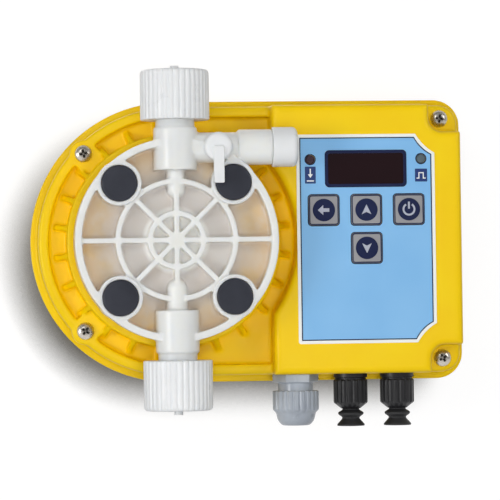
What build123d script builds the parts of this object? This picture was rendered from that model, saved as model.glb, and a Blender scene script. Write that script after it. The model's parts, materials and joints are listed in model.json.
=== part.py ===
from build123d import *
from math import cos, radians, sin, sqrt
import os

# A wall-mounted metering pump: a solenoid pushes a diaphragm behind the ribbed pump head, two ball valves
# let the liquid through upwards, and a control block beside the head carries the keypad and the sockets.
#
# Frame: the origin is where the pump head's axis meets the wall. X is to the right, Z is up, and the front
# faces -Y. A "depth" is the distance from the wall towards the front, so depth = -Y.

os.makedirs("parts", exist_ok=True)

# ---------------------------------------------------------------- casing: outline and depths
casing_r = 68.0             # rounded left end, and half the casing's height
casing_right = 142.0        # right-hand edge of the lip
casing_corner_r = 12.7      # right-hand corners of the lip
lip_overhang = 3.5          # how far the lip stands proud of the walls
lip_t = 3.0                 # thickness of each shell's lip
wall_t = 2.8                # side walls of both shells
back_t = 3.0                # wall plate of the rear shell
back_edge_r = 2.0           # rounded edge at the wall
joint_depth = 42.0          # where the two shells meet
rim_depth = 60.0            # front of the rim round the recess, and seat of the casing screws
rim_w = 5.0                 # width of that rim
rim_edge_r = 2.0
recess_drop = 6.0           # floor of the recess round the turret, behind the rim
block_left_in = 11.7        # left wall of the raised control block, inside the recess's reach
block_depth = 72.0          # face of the control block
block_edge_r = 3.0
face_t = 2.6                # thickness of the block's face
recess_r = casing_r - lip_overhang - rim_w - 0.5     # the recess bites this far round the head axis

# casing screws and their places
screw_ring_r = casing_r - 8.0                        # the two left-hand screws, at 45 degrees
screw_right_x = casing_right - 12.3
screw_right_z = casing_r - 10.2
screw_r = 1.95
screw_len = 34.0
screw_head_r = 4.15
screw_head_h = 2.6
screw_clear = 0.25          # screw in the front shell
thread_clear = 0.05         # thread in its boss or insert
post_r = 4.5
thread_depth = 20.0
notch_r = 6.6               # scooped corners of the block, round the right-hand screws
pad_w = 13.2                # pads that carry the left-hand screws
driver_w = 1.2              # cross recess in the screw heads
driver_l = 4.6
driver_depth = 1.3

gasket_w = 2.0
gasket_t = 1.4
gasket_inset = 2.4

# wall fixing
wall_hole_dx = 110.0
wall_hole_dz = 80.0
wall_hole_x = 36.0          # centre of the hole pattern
wall_insert_r = 3.5
wall_insert_bore_r = 2.15
wall_insert_len = 8.0
wall_boss_r = 6.0
wall_boss_depth = 11.0

# ---------------------------------------------------------------- turret that carries the pump head
turret_gap = 8.0            # width of the recess round it
turret_r = recess_r - turret_gap
turret_wall_t = 3.5
turret_bore_r = turret_r - turret_wall_t
turret_depth = 68.0
turret_plate_t = 6.0
rib_count = 24
rib_t = 2.6
rib_reach = 6.6
rib_toe_h = 1.5
rib_drop = 1.5              # the ribs stop this far short of the turret's face
bolt_ring_in = 13.0         # the four head bolts, on the diagonals, inside the turret's edge
bolt_r = 2.45
bolt_clear = 0.3
bolt_boss_r = 5.5
bolt_boss_len = 10.0
insert_r = 3.5
insert_clear = 0.02         # inserts in their bosses

# ---------------------------------------------------------------- diaphragm and solenoid
fit_gap = 0.1               # flat clearance between stacked pieces
diaphragm_r = 33.0
diaphragm_t = 2.3
diaphragm_seat_clear = 0.2
diaphragm_dome_r = 16.0
diaphragm_dome_h = 1.1
disc_r = 20.0
disc_t = 2.7
disc_bore_r = 24.0
stud_r = 2.4
end_plate_t = 5.0
end_plate_ear_gap = 2.0     # to the turret's bore
end_plate_ear_w = 12.0
solenoid_screw_in = 5.0     # from the end of each ear
solenoid_screw_r = 1.9
solenoid_screw_bite = 4.0
solenoid_screw_head_r = 3.4
solenoid_screw_head_h = 2.4
yoke_r = 31.5
yoke_wall = 3.5
yoke_rear_t = 4.5
yoke_len = 40.0
bobbin_bore_r = 11.3
bobbin_t = 1.2
bobbin_flange_r = 27.6
bobbin_flange_t = 1.6
winding_gap = 0.2
winding_r = 26.5
pole_r = 11.0
pole_neck_r = 8.9
pole_len = 13.0             # the part of the pole piece inside the coil
stroke = 1.25
closed_gap = 0.55           # air gap left at the end of the stroke
armature_r = 11.0
shaft_r = 3.0
bush_r = 5.0
bush_len = 10.5
bush_clear = 0.05
spring_pocket_r = 7.2
spring_pocket_len = 6.0
spring_r = 5.2
spring_wire_r = 0.55
spring_turns = 4
pad_r = 8.5
pad_t = 2.2
pad_post_r = 10.0
pad_post_len = 6.8          # the pad's post, in front of the wall plate

# ---------------------------------------------------------------- pump head
head_set_in = 3.0           # head's edge inside the turret's
head_proud = 7.0            # front of the rim and of the bolt bosses, past the valves' axis
head_rim_t = 3.4
head_floor_t = 12.5
mid_floor_t = 14.5          # floor inside the middle ring
hub_floor_t = 17.0          # floor inside the inner ring
web_set_back = 1.4          # rings and spokes behind the rim
mid_ring_in = 9.1           # middle ring inside the bolt circle
mid_ring_t = 2.5
inner_ring_r = 13.8
inner_ring_t = 2.5
spoke_t = 2.4
boss_r = 10.5
dish_r = 25.0
dish_h = 2.8
washer_sink = 12.0          # washers behind the rim
washer_r = 5.6
washer_t = 1.2
bolt_head_r = 4.25
bolt_head_h = 5.0
bolt_grip = 14.0            # length of the bolts in the turret
hex_key_r = 2.3
cap_r = 8.5
cap_t = 4.6
cap_crown = 0.6
cap_clear = 0.1

# valves, on an upright axis in the head; heights are measured from the head's edge
valve_clear = 3.6           # from the bleed nut to the control block
valve_body_r = 10.3
valve_body_in = 15.0
valve_body_out = 4.9
spigot_r = 9.2
spigot_out = 22.0
chamber_r = 7.6
chamber_floor_t = 4.0
channel_bore_r = 2.4
channel_cross_z = 24.5      # where the channels turn back to the diaphragm
channel_proud = 1.6         # their housings, past the valves' axis
top_channel_r = 4.15
top_channel_end = 19.6
bottom_channel_r = 4.8
bottom_channel_end = 18.2
cartridge_len = 18.2
cartridge_clear = 0.15
seat_h = 4.0
seat_bore_r = 2.5
seat_cone_h = 2.4
ball_r = 4.0
ball_gap = 0.12
ball_lift = 1.5
cage_bore_r = 4.4
cage_stop_clear = 0.25
cage_stop_t = 2.4
cage_stop_r = 2.6
cage_slot_w = 2.4
cage_slot_r = 6.2
nipple_flange_t = 3.0
nipple_bore_r = 1.3
nipple_tip_r = 2.1
nipple_cone_r = 4.0
nipple_cone_len = 3.0
nipple_proud = 2.0
ring_wire_r = 1.15
ring_groove_clear = 0.05
nut_r = 16.3
nut_out = 8.6
nut_len = 23.6
nut_edge_r = 2.6
nut_clear = 0.3
nut_mouth_r = 3.9
flute_count = 36
flute_r = 0.9
flute_cut = 0.45

# bleed valve, on a level axis to the right of the top valve
bleed_in = 4.5              # axis inside the head's edge
bleed_arm_r = 7.15
bleed_barrel_r = 8.4
bleed_barrel_len = 16.2
bleed_spigot_r = 7.2
bleed_spigot_len = 6.3
bleed_bore_r = 1.6
bleed_pocket_r = 4.4
bleed_pocket_len = 5.0
bleed_nut_r = 9.4
bleed_nut_len = 11.8
bleed_nut_edge_r = 2.4
bleed_nut_mouth_r = 3.4
bleed_flange_t = 1.4
bleed_tip_back = 0.5
knob_x = 19.6
knob_r = 6.75
knob_seat_proud = 0.6       # its seat, past the rim
bleed_arm_len = 9.9         # from the knob to the barrel
knob_t = 5.2
knob_edge_r = 2.2
knob_gap = 0.3
lever_w = 4.9
lever_t = 3.6
lever_proud = 1.4           # in front of the knob
lever_reach = 17.2
spindle_r = 3.0
spindle_clear = 0.05
spindle_past = 5.0          # behind the bleed passage
spindle_ring_wire_r = 0.8
spindle_ring_back = 2.8     # behind the knob's seat

# ---------------------------------------------------------------- keypad and electronics
panel_left_in = 11.4        # from the block's left wall
panel_right_in = 16.7       # from the lip's right-hand edge
panel_top_in = 18.0         # from the lip's top edge
panel_cut = 9.2             # cut corners on the right
panel_cut_bow = 0.9
panel_corner_r = 1.2
overlay_t = 0.5
window_drop = 16.5          # below the panel's top edge
window_w = 38.7
window_h = 17.1
window_corner_r = 1.4
window_t = 1.9
window_proud = 0.2
window_ledge = 1.6
window_clear = 0.15
key_w = 14.4
key_corner_r = 1.5
key_clear = 0.2
key_proud = 0.5
key_flange = 1.5
key_flange_t = 1.0
key_gap = 0.05
key_stem_r = 2.2
key_stem_len = 1.25
key_travel = 0.5
key_drop = 19.7             # first row below the window
key_pitch_x = 20.5
key_pitch_z = 18.3
switch_w = 6.0
switch_body_h = 3.5
switch_button_r = 1.7
led_in = 6.6                # from the panel's sides
led_drop = 12.0
led_r = 2.1
led_clear = 0.15
led_flange_r = 2.5
led_flange_t = 1.5
led_proud = 0.4
board_set_back = 14.0       # behind the block's face
board_t = 1.6
board_left_in = 3.9         # inside the panel's left edge
board_right_out = 5.7       # outside its right edge
board_bottom_in = 4.0
board_top_in = 2.2
board_post_r = 3.0
board_post_inset = 3.4
board_screw_r = 1.4
board_screw_bite = 6.0
board_screw_head_r = 2.6
board_screw_head_h = 1.8
module_w = 37.4
module_h = 15.4
capacitor_r = 8.0
capacitor_len = 22.0
terminal_w = 24.0
terminal_h = 8.0
terminal_t = 10.0

# ---------------------------------------------------------------- cable gland and sockets below the block
gland_in = 11.0             # from the block's left wall
gland_af = 19.3
gland_flange_t = 3.9
gland_thread_r = 8.0
gland_boss_h = 8.0          # threaded boss inside the bottom wall
gland_neck_r = 8.5
gland_neck_len = 10.0
gland_bore_r = 6.0
socket_hole_clear = 0.2
seal_bore_r = 4.0
seal_len = 8.0
seal_clear = 0.1
dome_start = 8.0            # below the wall
dome_r = 11.1
dome_len = 10.0
dome_taper_r = 8.6
dome_taper_len = 6.6
dome_mouth_r = 5.2
dome_clear = 0.25
dome_flute_count = 20
socket_offsets = (26.6, 49.2)        # from the gland
socket_flange_t = 1.9
socket_flange_r = 8.1
socket_thread_r = 6.0
socket_thread_in = 9.0
socket_barrel_r = 5.0
socket_barrel_len = 7.0
socket_nut_af = 15.0
socket_nut_t = 3.0
contact_r = 0.6
contact_ring_r = 2.2
contact_count = 4
plug_r = 8.2
plug_len = 12.4
plug_taper_len = 2.6
plug_grip_count = 16
plug_grip_w = 1.2
plug_grip_cut = 0.5
plug_clear = 0.2
boot_neck_r = 4.15
boot_rib_r = 6.1
boot_flare_r = 6.6
boot_rib_pitch = 4.4
boot_len = 10.9
boot_root_r = 3.3
boot_root_len = 3.0
boot_bore_r = 2.6

# ---------------------------------------------------------------- values that follow from those above
wall_line = casing_r - lip_overhang                  # outside of the top, bottom and left walls
floor_depth = rim_depth - recess_drop
block_left = recess_r - block_left_in
casing_screws = (
    (-screw_ring_r * cos(radians(45)), screw_ring_r * sin(radians(45))),
    (-screw_ring_r * cos(radians(45)), -screw_ring_r * sin(radians(45))),
    (screw_right_x, screw_right_z),
    (screw_right_x, -screw_right_z),
)
wall_holes = [
    (wall_hole_x + sx * wall_hole_dx / 2, sz * wall_hole_dz / 2) for sx in (-1, 1) for sz in (-1, 1)
]
bolt_ring_r = turret_r - bolt_ring_in
bolt_offset = bolt_ring_r * cos(radians(45))
bolt_centres = [(sx * bolt_offset, sz * bolt_offset) for sx in (-1, 1) for sz in (-1, 1)]
end_plate_ear_r = turret_bore_r - end_plate_ear_gap
solenoid_screw_ring_r = end_plate_ear_r - solenoid_screw_in
solenoid_screw_centres = [
    (solenoid_screw_ring_r * cos(radians(a)), solenoid_screw_ring_r * sin(radians(a)))
    for a in (0, 90, 180, 270)
]

plate_depth = turret_depth - turret_plate_t          # back of the turret's front plate
end_plate_depth = plate_depth - end_plate_t
yoke_depth = end_plate_depth - yoke_len              # rear of the solenoid
pole_depth = end_plate_depth - pole_len
armature_front = pole_depth - closed_gap - stroke
armature_back = back_t + pad_post_len + pad_t + fit_gap
diaphragm_back = turret_depth - diaphragm_t
disc_front = diaphragm_back - fit_gap
disc_back = disc_front - disc_t

valve_depth = block_depth + valve_clear + bleed_nut_r
head_r = turret_r - head_set_in
head_depth = valve_depth + head_proud
web_depth = head_depth - web_set_back
mid_ring_r = bolt_ring_r - mid_ring_in
washer_depth = head_depth - washer_sink
channel_axis_depth = valve_depth + channel_proud
valve_body_start = head_r - valve_body_in            # heights above and below the head axis
valve_body_end = head_r + valve_body_out
spigot_end = head_r + spigot_out
chamber_start = valve_body_start + chamber_floor_t
nut_start = head_r + nut_out
bleed_z = head_r - bleed_in
bleed_arm_end = knob_x + bleed_arm_len
bleed_barrel_end = bleed_arm_end + bleed_barrel_len
bleed_spigot_end = bleed_barrel_end + bleed_spigot_len
bleed_nut_end = bleed_barrel_end + fit_gap + bleed_nut_len
knob_base_depth = head_depth + knob_seat_proud
spindle_end_depth = valve_depth - spindle_past
spindle_ring_depth = knob_base_depth - spindle_ring_back

panel_left = block_left + panel_left_in
panel_right = casing_right - panel_right_in
panel_half_h = casing_r - panel_top_in
window_x = (panel_left + panel_right) / 2
window_z = panel_half_h - window_drop
key_row_z = window_z - key_drop
board_left = panel_left + board_left_in
board_right = panel_right + board_right_out
board_bottom = board_bottom_in - panel_half_h
board_top = panel_half_h - board_top_in
board_depth = block_depth - board_set_back
board_front = board_depth + board_t
board_posts = [
    (x, z)
    for x in (board_left + board_post_inset, board_right - board_post_inset)
    for z in (board_bottom + board_post_inset, board_top - board_post_inset)
]
face_inside = block_depth - face_t
overlay_front = block_depth + overlay_t
key_flange_front = face_inside - key_gap
key_stem_back = key_flange_front - key_flange_t - key_stem_len
key_places = {
    "key_back": (window_x - key_pitch_x, key_row_z),
    "key_up": (window_x, key_row_z),
    "key_power": (window_x + key_pitch_x, key_row_z),
    "key_down": (window_x, key_row_z - key_pitch_z),
}
led_places = [(x, panel_half_h - led_drop) for x in (panel_left + led_in, panel_right - led_in)]

port_depth = (joint_depth + lip_t + block_depth) / 2     # midway between the lip and the face
gland_x = block_left + gland_in
socket_x = [gland_x + offset for offset in socket_offsets]


# ---------------------------------------------------------------- planes and shared shapes
def front_plane(depth):
    """Plane facing the front at a depth; its own x and y are the part's X and Z."""
    return Plane.XZ.offset(depth)


def deep_axis(x, z):
    """Plane whose normal runs forwards through X, Z; heights along it are depths."""
    return Plane(origin=(x, 0, z), x_dir=(1, 0, 0), z_dir=(0, -1, 0))


def upright_axis(x, depth, base=0.0, up=1):
    """Plane whose normal runs up (or down) at X and depth; heights start at the level base."""
    return Plane(origin=(x, -depth, base), x_dir=(1, 0, 0), z_dir=(0, 0, up))


def level_axis(depth, z):
    """Plane whose normal runs to the right at depth and Z; heights along it are X."""
    return Plane(origin=(0, -depth, z), x_dir=(0, 1, 0), z_dir=(1, 0, 0))


def turned(plane, points, mode=Mode.ADD):
    """Turn a profile of (radius, height) points about the plane's normal."""
    with BuildSketch(Plane(origin=plane.origin, x_dir=plane.x_dir, z_dir=-plane.y_dir)) as profile:
        with BuildLine():
            Polyline(*points, close=True)
        make_face()
    revolve(profile.sketch, axis=Axis(plane.origin, plane.z_dir), mode=mode)


def bars(plane, start, end, radius, centres=((0, 0),), mode=Mode.ADD):
    """Round bars along the plane's normal, between two heights."""
    with BuildSketch(plane.offset(start)) as profile:
        with Locations(*centres):
            Circle(radius)
    extrude(profile.sketch, amount=end - start, mode=mode)


def slab(start, end, width, height, centre, corner_r=0.0, mode=Mode.ADD):
    """Upright block between two depths, with its X-Z corners rounded."""
    with BuildSketch(front_plane(start)) as profile:
        with Locations(centre):
            if corner_r > 0:
                RectangleRounded(width, height, corner_r)
            else:
                Rectangle(width, height)
    extrude(profile.sketch, amount=end - start, mode=mode)


def draw_casing(inset):
    """Casing outline, inset from the lip's edge, in the open line."""
    r = casing_r - inset
    right = casing_right - inset
    corner = casing_corner_r - inset
    Line((0, r), (right - corner, r))
    CenterArc((right - corner, r - corner), corner, 0, 90)
    Line((right, r - corner), (right, corner - r))
    CenterArc((right - corner, corner - r), corner, 270, 90)
    Line((right - corner, -r), (0, -r))
    CenterArc((0, 0), r, 90, 180)


def casing_face(depth, inset, hole_inset=None):
    """The casing's outline as a face, or as a ring where an inner inset is given."""
    with BuildSketch(front_plane(depth)) as face:
        with BuildLine():
            draw_casing(inset)
        make_face()
        if hole_inset is not None:
            with BuildLine():
                draw_casing(hole_inset)
            make_face(mode=Mode.SUBTRACT)
    return face.sketch


def block_face(depth, inset):
    """Plan of the control block: round bite towards the head, scooped right-hand corners."""
    left = block_left + inset
    top = wall_line - inset
    right = casing_right - lip_overhang - inset
    bite = recess_r + inset
    bite_z = sqrt(bite**2 - left**2)
    scoop = notch_r + inset
    scoop_x = screw_right_x - scoop
    scoop_z = screw_right_z - scoop
    with BuildSketch(front_plane(depth)) as face:
        with BuildLine():
            Polyline((left, bite_z), (left, top), (scoop_x, top), (scoop_x, screw_right_z))
            CenterArc((screw_right_x, screw_right_z), scoop, 180, 90)
            Polyline((screw_right_x, scoop_z), (right, scoop_z), (right, -scoop_z), (screw_right_x, -scoop_z))
            CenterArc((screw_right_x, -screw_right_z), scoop, 90, 90)
            Polyline((scoop_x, -screw_right_z), (scoop_x, -top), (left, -top), (left, -bite_z))
            ThreePointArc((left, -bite_z), (bite, 0), (left, bite_z))
        make_face()
    return face.sketch


def pan_screw(x, z, seat, radius, length, head_r, head_h):
    """Cross-recessed pan head screw driven from the front at X, Z."""
    edge = head_h * 0.45
    turned(deep_axis(x, z), (
        (0, seat - length),
        (radius * 0.6, seat - length),
        (radius, seat - length + radius),
        (radius, seat),
        (head_r, seat),
        (head_r, seat + edge),
        (head_r * 0.8, seat + head_h * 0.85),
        (head_r * 0.45, seat + head_h),
        (0, seat + head_h),
    ))


def save(piece, name):
    """Label a finished piece and write it as its own STEP file."""
    piece.part.label = name
    export_step(piece.part, f"parts/{name}.step")


# ---------------------------------------------------------------- casing
with BuildPart() as rear_shell:
    extrude(casing_face(0, lip_overhang), amount=joint_depth)
    fillet(rear_shell.edges().group_by(Axis.Y)[-1], back_edge_r)
    extrude(casing_face(joint_depth - lip_t, 0), amount=lip_t)
    extrude(casing_face(back_t, lip_overhang + wall_t), amount=joint_depth - back_t, mode=Mode.SUBTRACT)
    bars(Plane.XZ, back_t, joint_depth, post_r, casing_screws)
    bars(Plane.XZ, back_t, wall_boss_depth, wall_boss_r, wall_holes)
    bars(Plane.XZ, back_t, armature_back - fit_gap - pad_t, pad_post_r)
    bars(
        Plane.XZ,
        joint_depth - thread_depth,
        joint_depth,
        screw_r + thread_clear,
        casing_screws,
        Mode.SUBTRACT,
    )
    bars(Plane.XZ, 0, wall_insert_len, wall_insert_r + insert_clear, wall_holes, Mode.SUBTRACT)
    extrude(
        casing_face(joint_depth - gasket_t, gasket_inset, gasket_inset + gasket_w),
        amount=gasket_t,
        mode=Mode.SUBTRACT,
    )
save(rear_shell, "rear_shell")

with BuildPart() as wall_inserts:
    bars(Plane.XZ, 0, wall_insert_len, wall_insert_r, wall_holes)
    bars(Plane.XZ, 0, wall_insert_len, wall_insert_bore_r, wall_holes, Mode.SUBTRACT)
save(wall_inserts, "wall_inserts")

with BuildPart() as housing_gasket:
    extrude(
        casing_face(joint_depth - gasket_t, gasket_inset + fit_gap, gasket_inset + gasket_w - fit_gap),
        amount=gasket_t,
    )
save(housing_gasket, "housing_gasket")

with BuildPart() as front_shell:
    # outer walls, lip and raised block
    extrude(casing_face(joint_depth, lip_overhang), amount=rim_depth - joint_depth)
    fillet(front_shell.edges().group_by(Axis.Y)[0], rim_edge_r)
    extrude(casing_face(joint_depth, 0), amount=lip_t)
    extrude(block_face(rim_depth - 2 * rim_edge_r, 0), amount=block_depth - rim_depth + 2 * rim_edge_r)
    fillet(front_shell.edges().group_by(Axis.Y)[0], block_edge_r)

    # recess round the turret, left of the block
    with BuildSketch(front_plane(floor_depth)) as recess:
        with BuildLine():
            draw_casing(lip_overhang + rim_w)
        make_face()
        with Locations((block_left + casing_right, 0)):
            Rectangle(2 * casing_right, 2 * casing_r, mode=Mode.SUBTRACT)
        Circle(recess_r)
    extrude(recess.sketch, amount=block_depth - floor_depth, mode=Mode.SUBTRACT)

    # turret, its ribs, and the pads of the left-hand screws
    bars(Plane.XZ, floor_depth, turret_depth, turret_r)
    for number in range(rib_count):
        angle = radians((number + 0.5) * 360 / rib_count)
        outwards = (cos(angle), 0, sin(angle))
        sideways = (sin(angle), 0, -cos(angle))
        radial = Plane(origin=(0, 0, 0), x_dir=outwards, z_dir=sideways)
        with BuildSketch(radial):
            with BuildLine():
                Polyline(
                    (turret_bore_r, floor_depth - wall_t),
                    (turret_r + rib_reach, floor_depth - wall_t),
                    (turret_r + rib_reach, floor_depth + rib_toe_h),
                    (turret_r, turret_depth - rib_drop),
                    (turret_bore_r, turret_depth - rib_drop),
                    close=True,
                )
            make_face()
        extrude(amount=rib_t / 2, both=True)
    for x, z in casing_screws[:2]:
        inward = Plane(origin=(x, -floor_depth, z), x_dir=(-x, 0, -z), z_dir=(0, -1, 0))
        with BuildSketch(inward):
            Circle(pad_w / 2)
            with Locations(((screw_ring_r - turret_r) / 2, 0)):
                Rectangle(screw_ring_r - turret_r, pad_w)
        extrude(amount=rim_depth - floor_depth)

    # hollow inside: shallow all over, deep in the block and in the turret
    extrude(
        casing_face(joint_depth, lip_overhang + wall_t),
        amount=floor_depth - wall_t - joint_depth,
        mode=Mode.SUBTRACT,
    )
    extrude(block_face(joint_depth, wall_t), amount=face_inside - joint_depth, mode=Mode.SUBTRACT)
    bars(Plane.XZ, joint_depth, plate_depth, turret_bore_r, mode=Mode.SUBTRACT)

    # bosses inside
    bars(Plane.XZ, joint_depth, rim_depth - wall_t, post_r, casing_screws)
    bars(Plane.XZ, plate_depth - bolt_boss_len, plate_depth, bolt_boss_r, bolt_centres)
    bars(Plane.XZ, board_front, face_inside, board_post_r, board_posts)
    bars(
        upright_axis(gland_x, port_depth, -wall_line),
        wall_t / 2,
        wall_t + gland_boss_h,
        gland_thread_r + wall_t,
    )

    # holes for the screws, the head bolts and the solenoid
    bars(Plane.XZ, joint_depth, rim_depth, screw_r + screw_clear, casing_screws, Mode.SUBTRACT)
    bars(
        Plane.XZ,
        plate_depth - bolt_boss_len,
        plate_depth,
        insert_r + insert_clear,
        bolt_centres,
        Mode.SUBTRACT,
    )
    bars(Plane.XZ, plate_depth, turret_depth, bolt_r + bolt_clear, bolt_centres, Mode.SUBTRACT)
    bars(
        Plane.XZ,
        plate_depth,
        plate_depth + solenoid_screw_bite,
        solenoid_screw_r + thread_clear,
        solenoid_screw_centres,
        Mode.SUBTRACT,
    )
    bars(Plane.XZ, plate_depth, turret_depth, disc_bore_r, mode=Mode.SUBTRACT)
    bars(Plane.XZ, diaphragm_back, turret_depth, diaphragm_r + diaphragm_seat_clear, mode=Mode.SUBTRACT)
    bars(
        Plane.XZ,
        board_front,
        board_front + board_screw_bite,
        board_screw_r + thread_clear,
        board_posts,
        Mode.SUBTRACT,
    )

    # openings in the face: window with its ledge, keys and lamps
    slab(
        overlay_front + window_proud - window_t,
        block_depth,
        window_w + 2 * window_clear,
        window_h + 2 * window_clear,
        (window_x, window_z),
        window_corner_r + window_clear,
        Mode.SUBTRACT,
    )
    slab(
        face_inside,
        block_depth,
        window_w - 2 * window_ledge,
        window_h - 2 * window_ledge,
        (window_x, window_z),
        mode=Mode.SUBTRACT,
    )
    for place in key_places.values():
        slab(
            face_inside,
            block_depth,
            key_w + 2 * key_clear,
            key_w + 2 * key_clear,
            place,
            key_corner_r + key_clear,
            Mode.SUBTRACT,
        )
    bars(Plane.XZ, face_inside, block_depth, led_r + led_clear, led_places, Mode.SUBTRACT)

    # holes for the gland and the sockets in the bottom wall
    bars(
        upright_axis(gland_x, port_depth, -wall_line),
        0,
        wall_t + gland_boss_h,
        gland_thread_r + thread_clear,
        mode=Mode.SUBTRACT,
    )
    for x in socket_x:
        bars(
            upright_axis(x, port_depth, -wall_line),
            0,
            wall_t,
            socket_thread_r + socket_hole_clear,
            mode=Mode.SUBTRACT,
        )
save(front_shell, "front_shell")

with BuildPart() as housing_screws:
    for x, z in casing_screws:
        pan_screw(x, z, rim_depth, screw_r, screw_len, screw_head_r, screw_head_h)
    with BuildSketch(front_plane(rim_depth + screw_head_h)):
        with Locations(*casing_screws):
            Rectangle(driver_l, driver_w)
            Rectangle(driver_w, driver_l)
    extrude(amount=-driver_depth, mode=Mode.SUBTRACT)
save(housing_screws, "housing_screws")

# ---------------------------------------------------------------- solenoid, from the wall forwards
with BuildPart() as stop_pad:
    bars(Plane.XZ, armature_back - fit_gap - pad_t, armature_back - fit_gap, pad_r)
save(stop_pad, "stop_pad")

with BuildPart() as solenoid_yoke:
    turned(Plane.XZ, (
        (bobbin_bore_r + fit_gap, yoke_depth),
        (yoke_r, yoke_depth),
        (yoke_r, end_plate_depth),
        (yoke_r - yoke_wall, end_plate_depth),
        (yoke_r - yoke_wall, yoke_depth + yoke_rear_t),
        (bobbin_bore_r + fit_gap, yoke_depth + yoke_rear_t),
    ))
save(solenoid_yoke, "solenoid_yoke")

bobbin_back = yoke_depth + yoke_rear_t + fit_gap
bobbin_front = end_plate_depth - fit_gap
with BuildPart() as coil_bobbin:
    turned(Plane.XZ, (
        (bobbin_bore_r, bobbin_back),
        (bobbin_flange_r, bobbin_back),
        (bobbin_flange_r, bobbin_back + bobbin_flange_t),
        (bobbin_bore_r + bobbin_t, bobbin_back + bobbin_flange_t),
        (bobbin_bore_r + bobbin_t, bobbin_front - bobbin_flange_t),
        (bobbin_flange_r, bobbin_front - bobbin_flange_t),
        (bobbin_flange_r, bobbin_front),
        (bobbin_bore_r, bobbin_front),
    ))
save(coil_bobbin, "coil_bobbin")

with BuildPart() as coil_winding:
    winding_back = bobbin_back + bobbin_flange_t + winding_gap
    winding_front = bobbin_front - bobbin_flange_t - winding_gap
    bars(Plane.XZ, winding_back, winding_front, winding_r)
    bars(Plane.XZ, winding_back, winding_front, bobbin_bore_r + bobbin_t + winding_gap, mode=Mode.SUBTRACT)
save(coil_winding, "coil_winding")

with BuildPart() as yoke_end_plate:
    with BuildSketch(front_plane(end_plate_depth)):
        Circle(yoke_r)
        Rectangle(2 * end_plate_ear_r, end_plate_ear_w)
        Rectangle(end_plate_ear_w, 2 * end_plate_ear_r)
    extrude(amount=end_plate_t)
    bars(Plane.XZ, end_plate_depth, plate_depth, pole_neck_r + fit_gap, mode=Mode.SUBTRACT)
    bars(
        Plane.XZ,
        end_plate_depth,
        plate_depth,
        solenoid_screw_r + screw_clear,
        solenoid_screw_centres,
        Mode.SUBTRACT,
    )
save(yoke_end_plate, "yoke_end_plate")

with BuildPart() as solenoid_screws:
    bars(
        Plane.XZ,
        end_plate_depth,
        plate_depth + solenoid_screw_bite - fit_gap,
        solenoid_screw_r,
        solenoid_screw_centres,
    )
    bars(
        Plane.XZ,
        end_plate_depth - solenoid_screw_head_h,
        end_plate_depth,
        solenoid_screw_head_r,
        solenoid_screw_centres,
    )
save(solenoid_screws, "solenoid_screws")

with BuildPart() as pole_piece:
    turned(Plane.XZ, (
        (spring_pocket_r, pole_depth),
        (pole_r, pole_depth),
        (pole_r, end_plate_depth),
        (pole_neck_r, end_plate_depth),
        (pole_neck_r, plate_depth - fit_gap),
        (bush_r + insert_clear, plate_depth - fit_gap),
        (bush_r + insert_clear, pole_depth + spring_pocket_len),
        (spring_pocket_r, pole_depth + spring_pocket_len),
    ))
save(pole_piece, "pole_piece")

with BuildPart() as guide_bush:
    bush_back = pole_depth + spring_pocket_len
    bars(Plane.XZ, bush_back, bush_back + bush_len, bush_r)
    bars(Plane.XZ, bush_back, bush_back + bush_len, shaft_r + bush_clear, mode=Mode.SUBTRACT)
save(guide_bush, "guide_bush")

with BuildPart() as plunger:
    turned(Plane.XZ, (
        (0, armature_back),
        (armature_r - 1, armature_back),
        (armature_r, armature_back + 1),
        (armature_r, armature_front),
        (shaft_r, armature_front),
        (shaft_r, disc_back - fit_gap),
        (stud_r, disc_back - fit_gap),
        (stud_r, disc_front - fit_gap),
        (0, disc_front - fit_gap),
    ))
save(plunger, "plunger")

spring_back = armature_front + spring_wire_r + fit_gap
spring_front = pole_depth + spring_pocket_len - spring_wire_r - fit_gap
with BuildPart() as return_spring:
    with BuildLine() as coil_path:
        Helix(
            pitch=(spring_front - spring_back) / spring_turns,
            height=spring_front - spring_back,
            radius=spring_r,
            center=(0, -spring_back, 0),
            direction=(0, -1, 0),
        )
    with BuildSketch(Plane(origin=coil_path.line @ 0, z_dir=coil_path.line % 0)):
        RegularPolygon(spring_wire_r, 6)
    sweep(path=coil_path.line, is_frenet=True)
save(return_spring, "return_spring")

with BuildPart() as backing_disc:
    bars(Plane.XZ, disc_back, disc_front, disc_r)
    bars(Plane.XZ, disc_back, disc_front, stud_r + thread_clear, mode=Mode.SUBTRACT)
    chamfer(backing_disc.edges().filter_by(GeomType.CIRCLE).group_by(SortBy.RADIUS)[-1], disc_t / 4)
save(backing_disc, "backing_disc")

with BuildPart() as diaphragm:
    turned(Plane.XZ, (
        (0, diaphragm_back),
        (diaphragm_r, diaphragm_back),
        (diaphragm_r, turret_depth),
        (dish_r + 1, turret_depth),
        (dish_r - 1, turret_depth - diaphragm_t / 3),
        (diaphragm_dome_r + 2, turret_depth - diaphragm_t / 3),
        (diaphragm_dome_r, turret_depth + diaphragm_dome_h),
        (0, turret_depth + diaphragm_dome_h),
    ))
save(diaphragm, "diaphragm")

# ---------------------------------------------------------------- pump head
head_floor_front = turret_depth + head_floor_t


def port_plane(end):
    """Axis of a valve, measured outwards from the head axis; end is 1 for the top and -1 for the bottom."""
    return upright_axis(0, valve_depth, up=end)


def head_ring(radius, thickness, depth):
    """Ring standing on the head's floor."""
    bars(Plane.XZ, turret_depth, depth, radius)
    bars(Plane.XZ, head_floor_front, depth, radius - thickness, mode=Mode.SUBTRACT)


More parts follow.
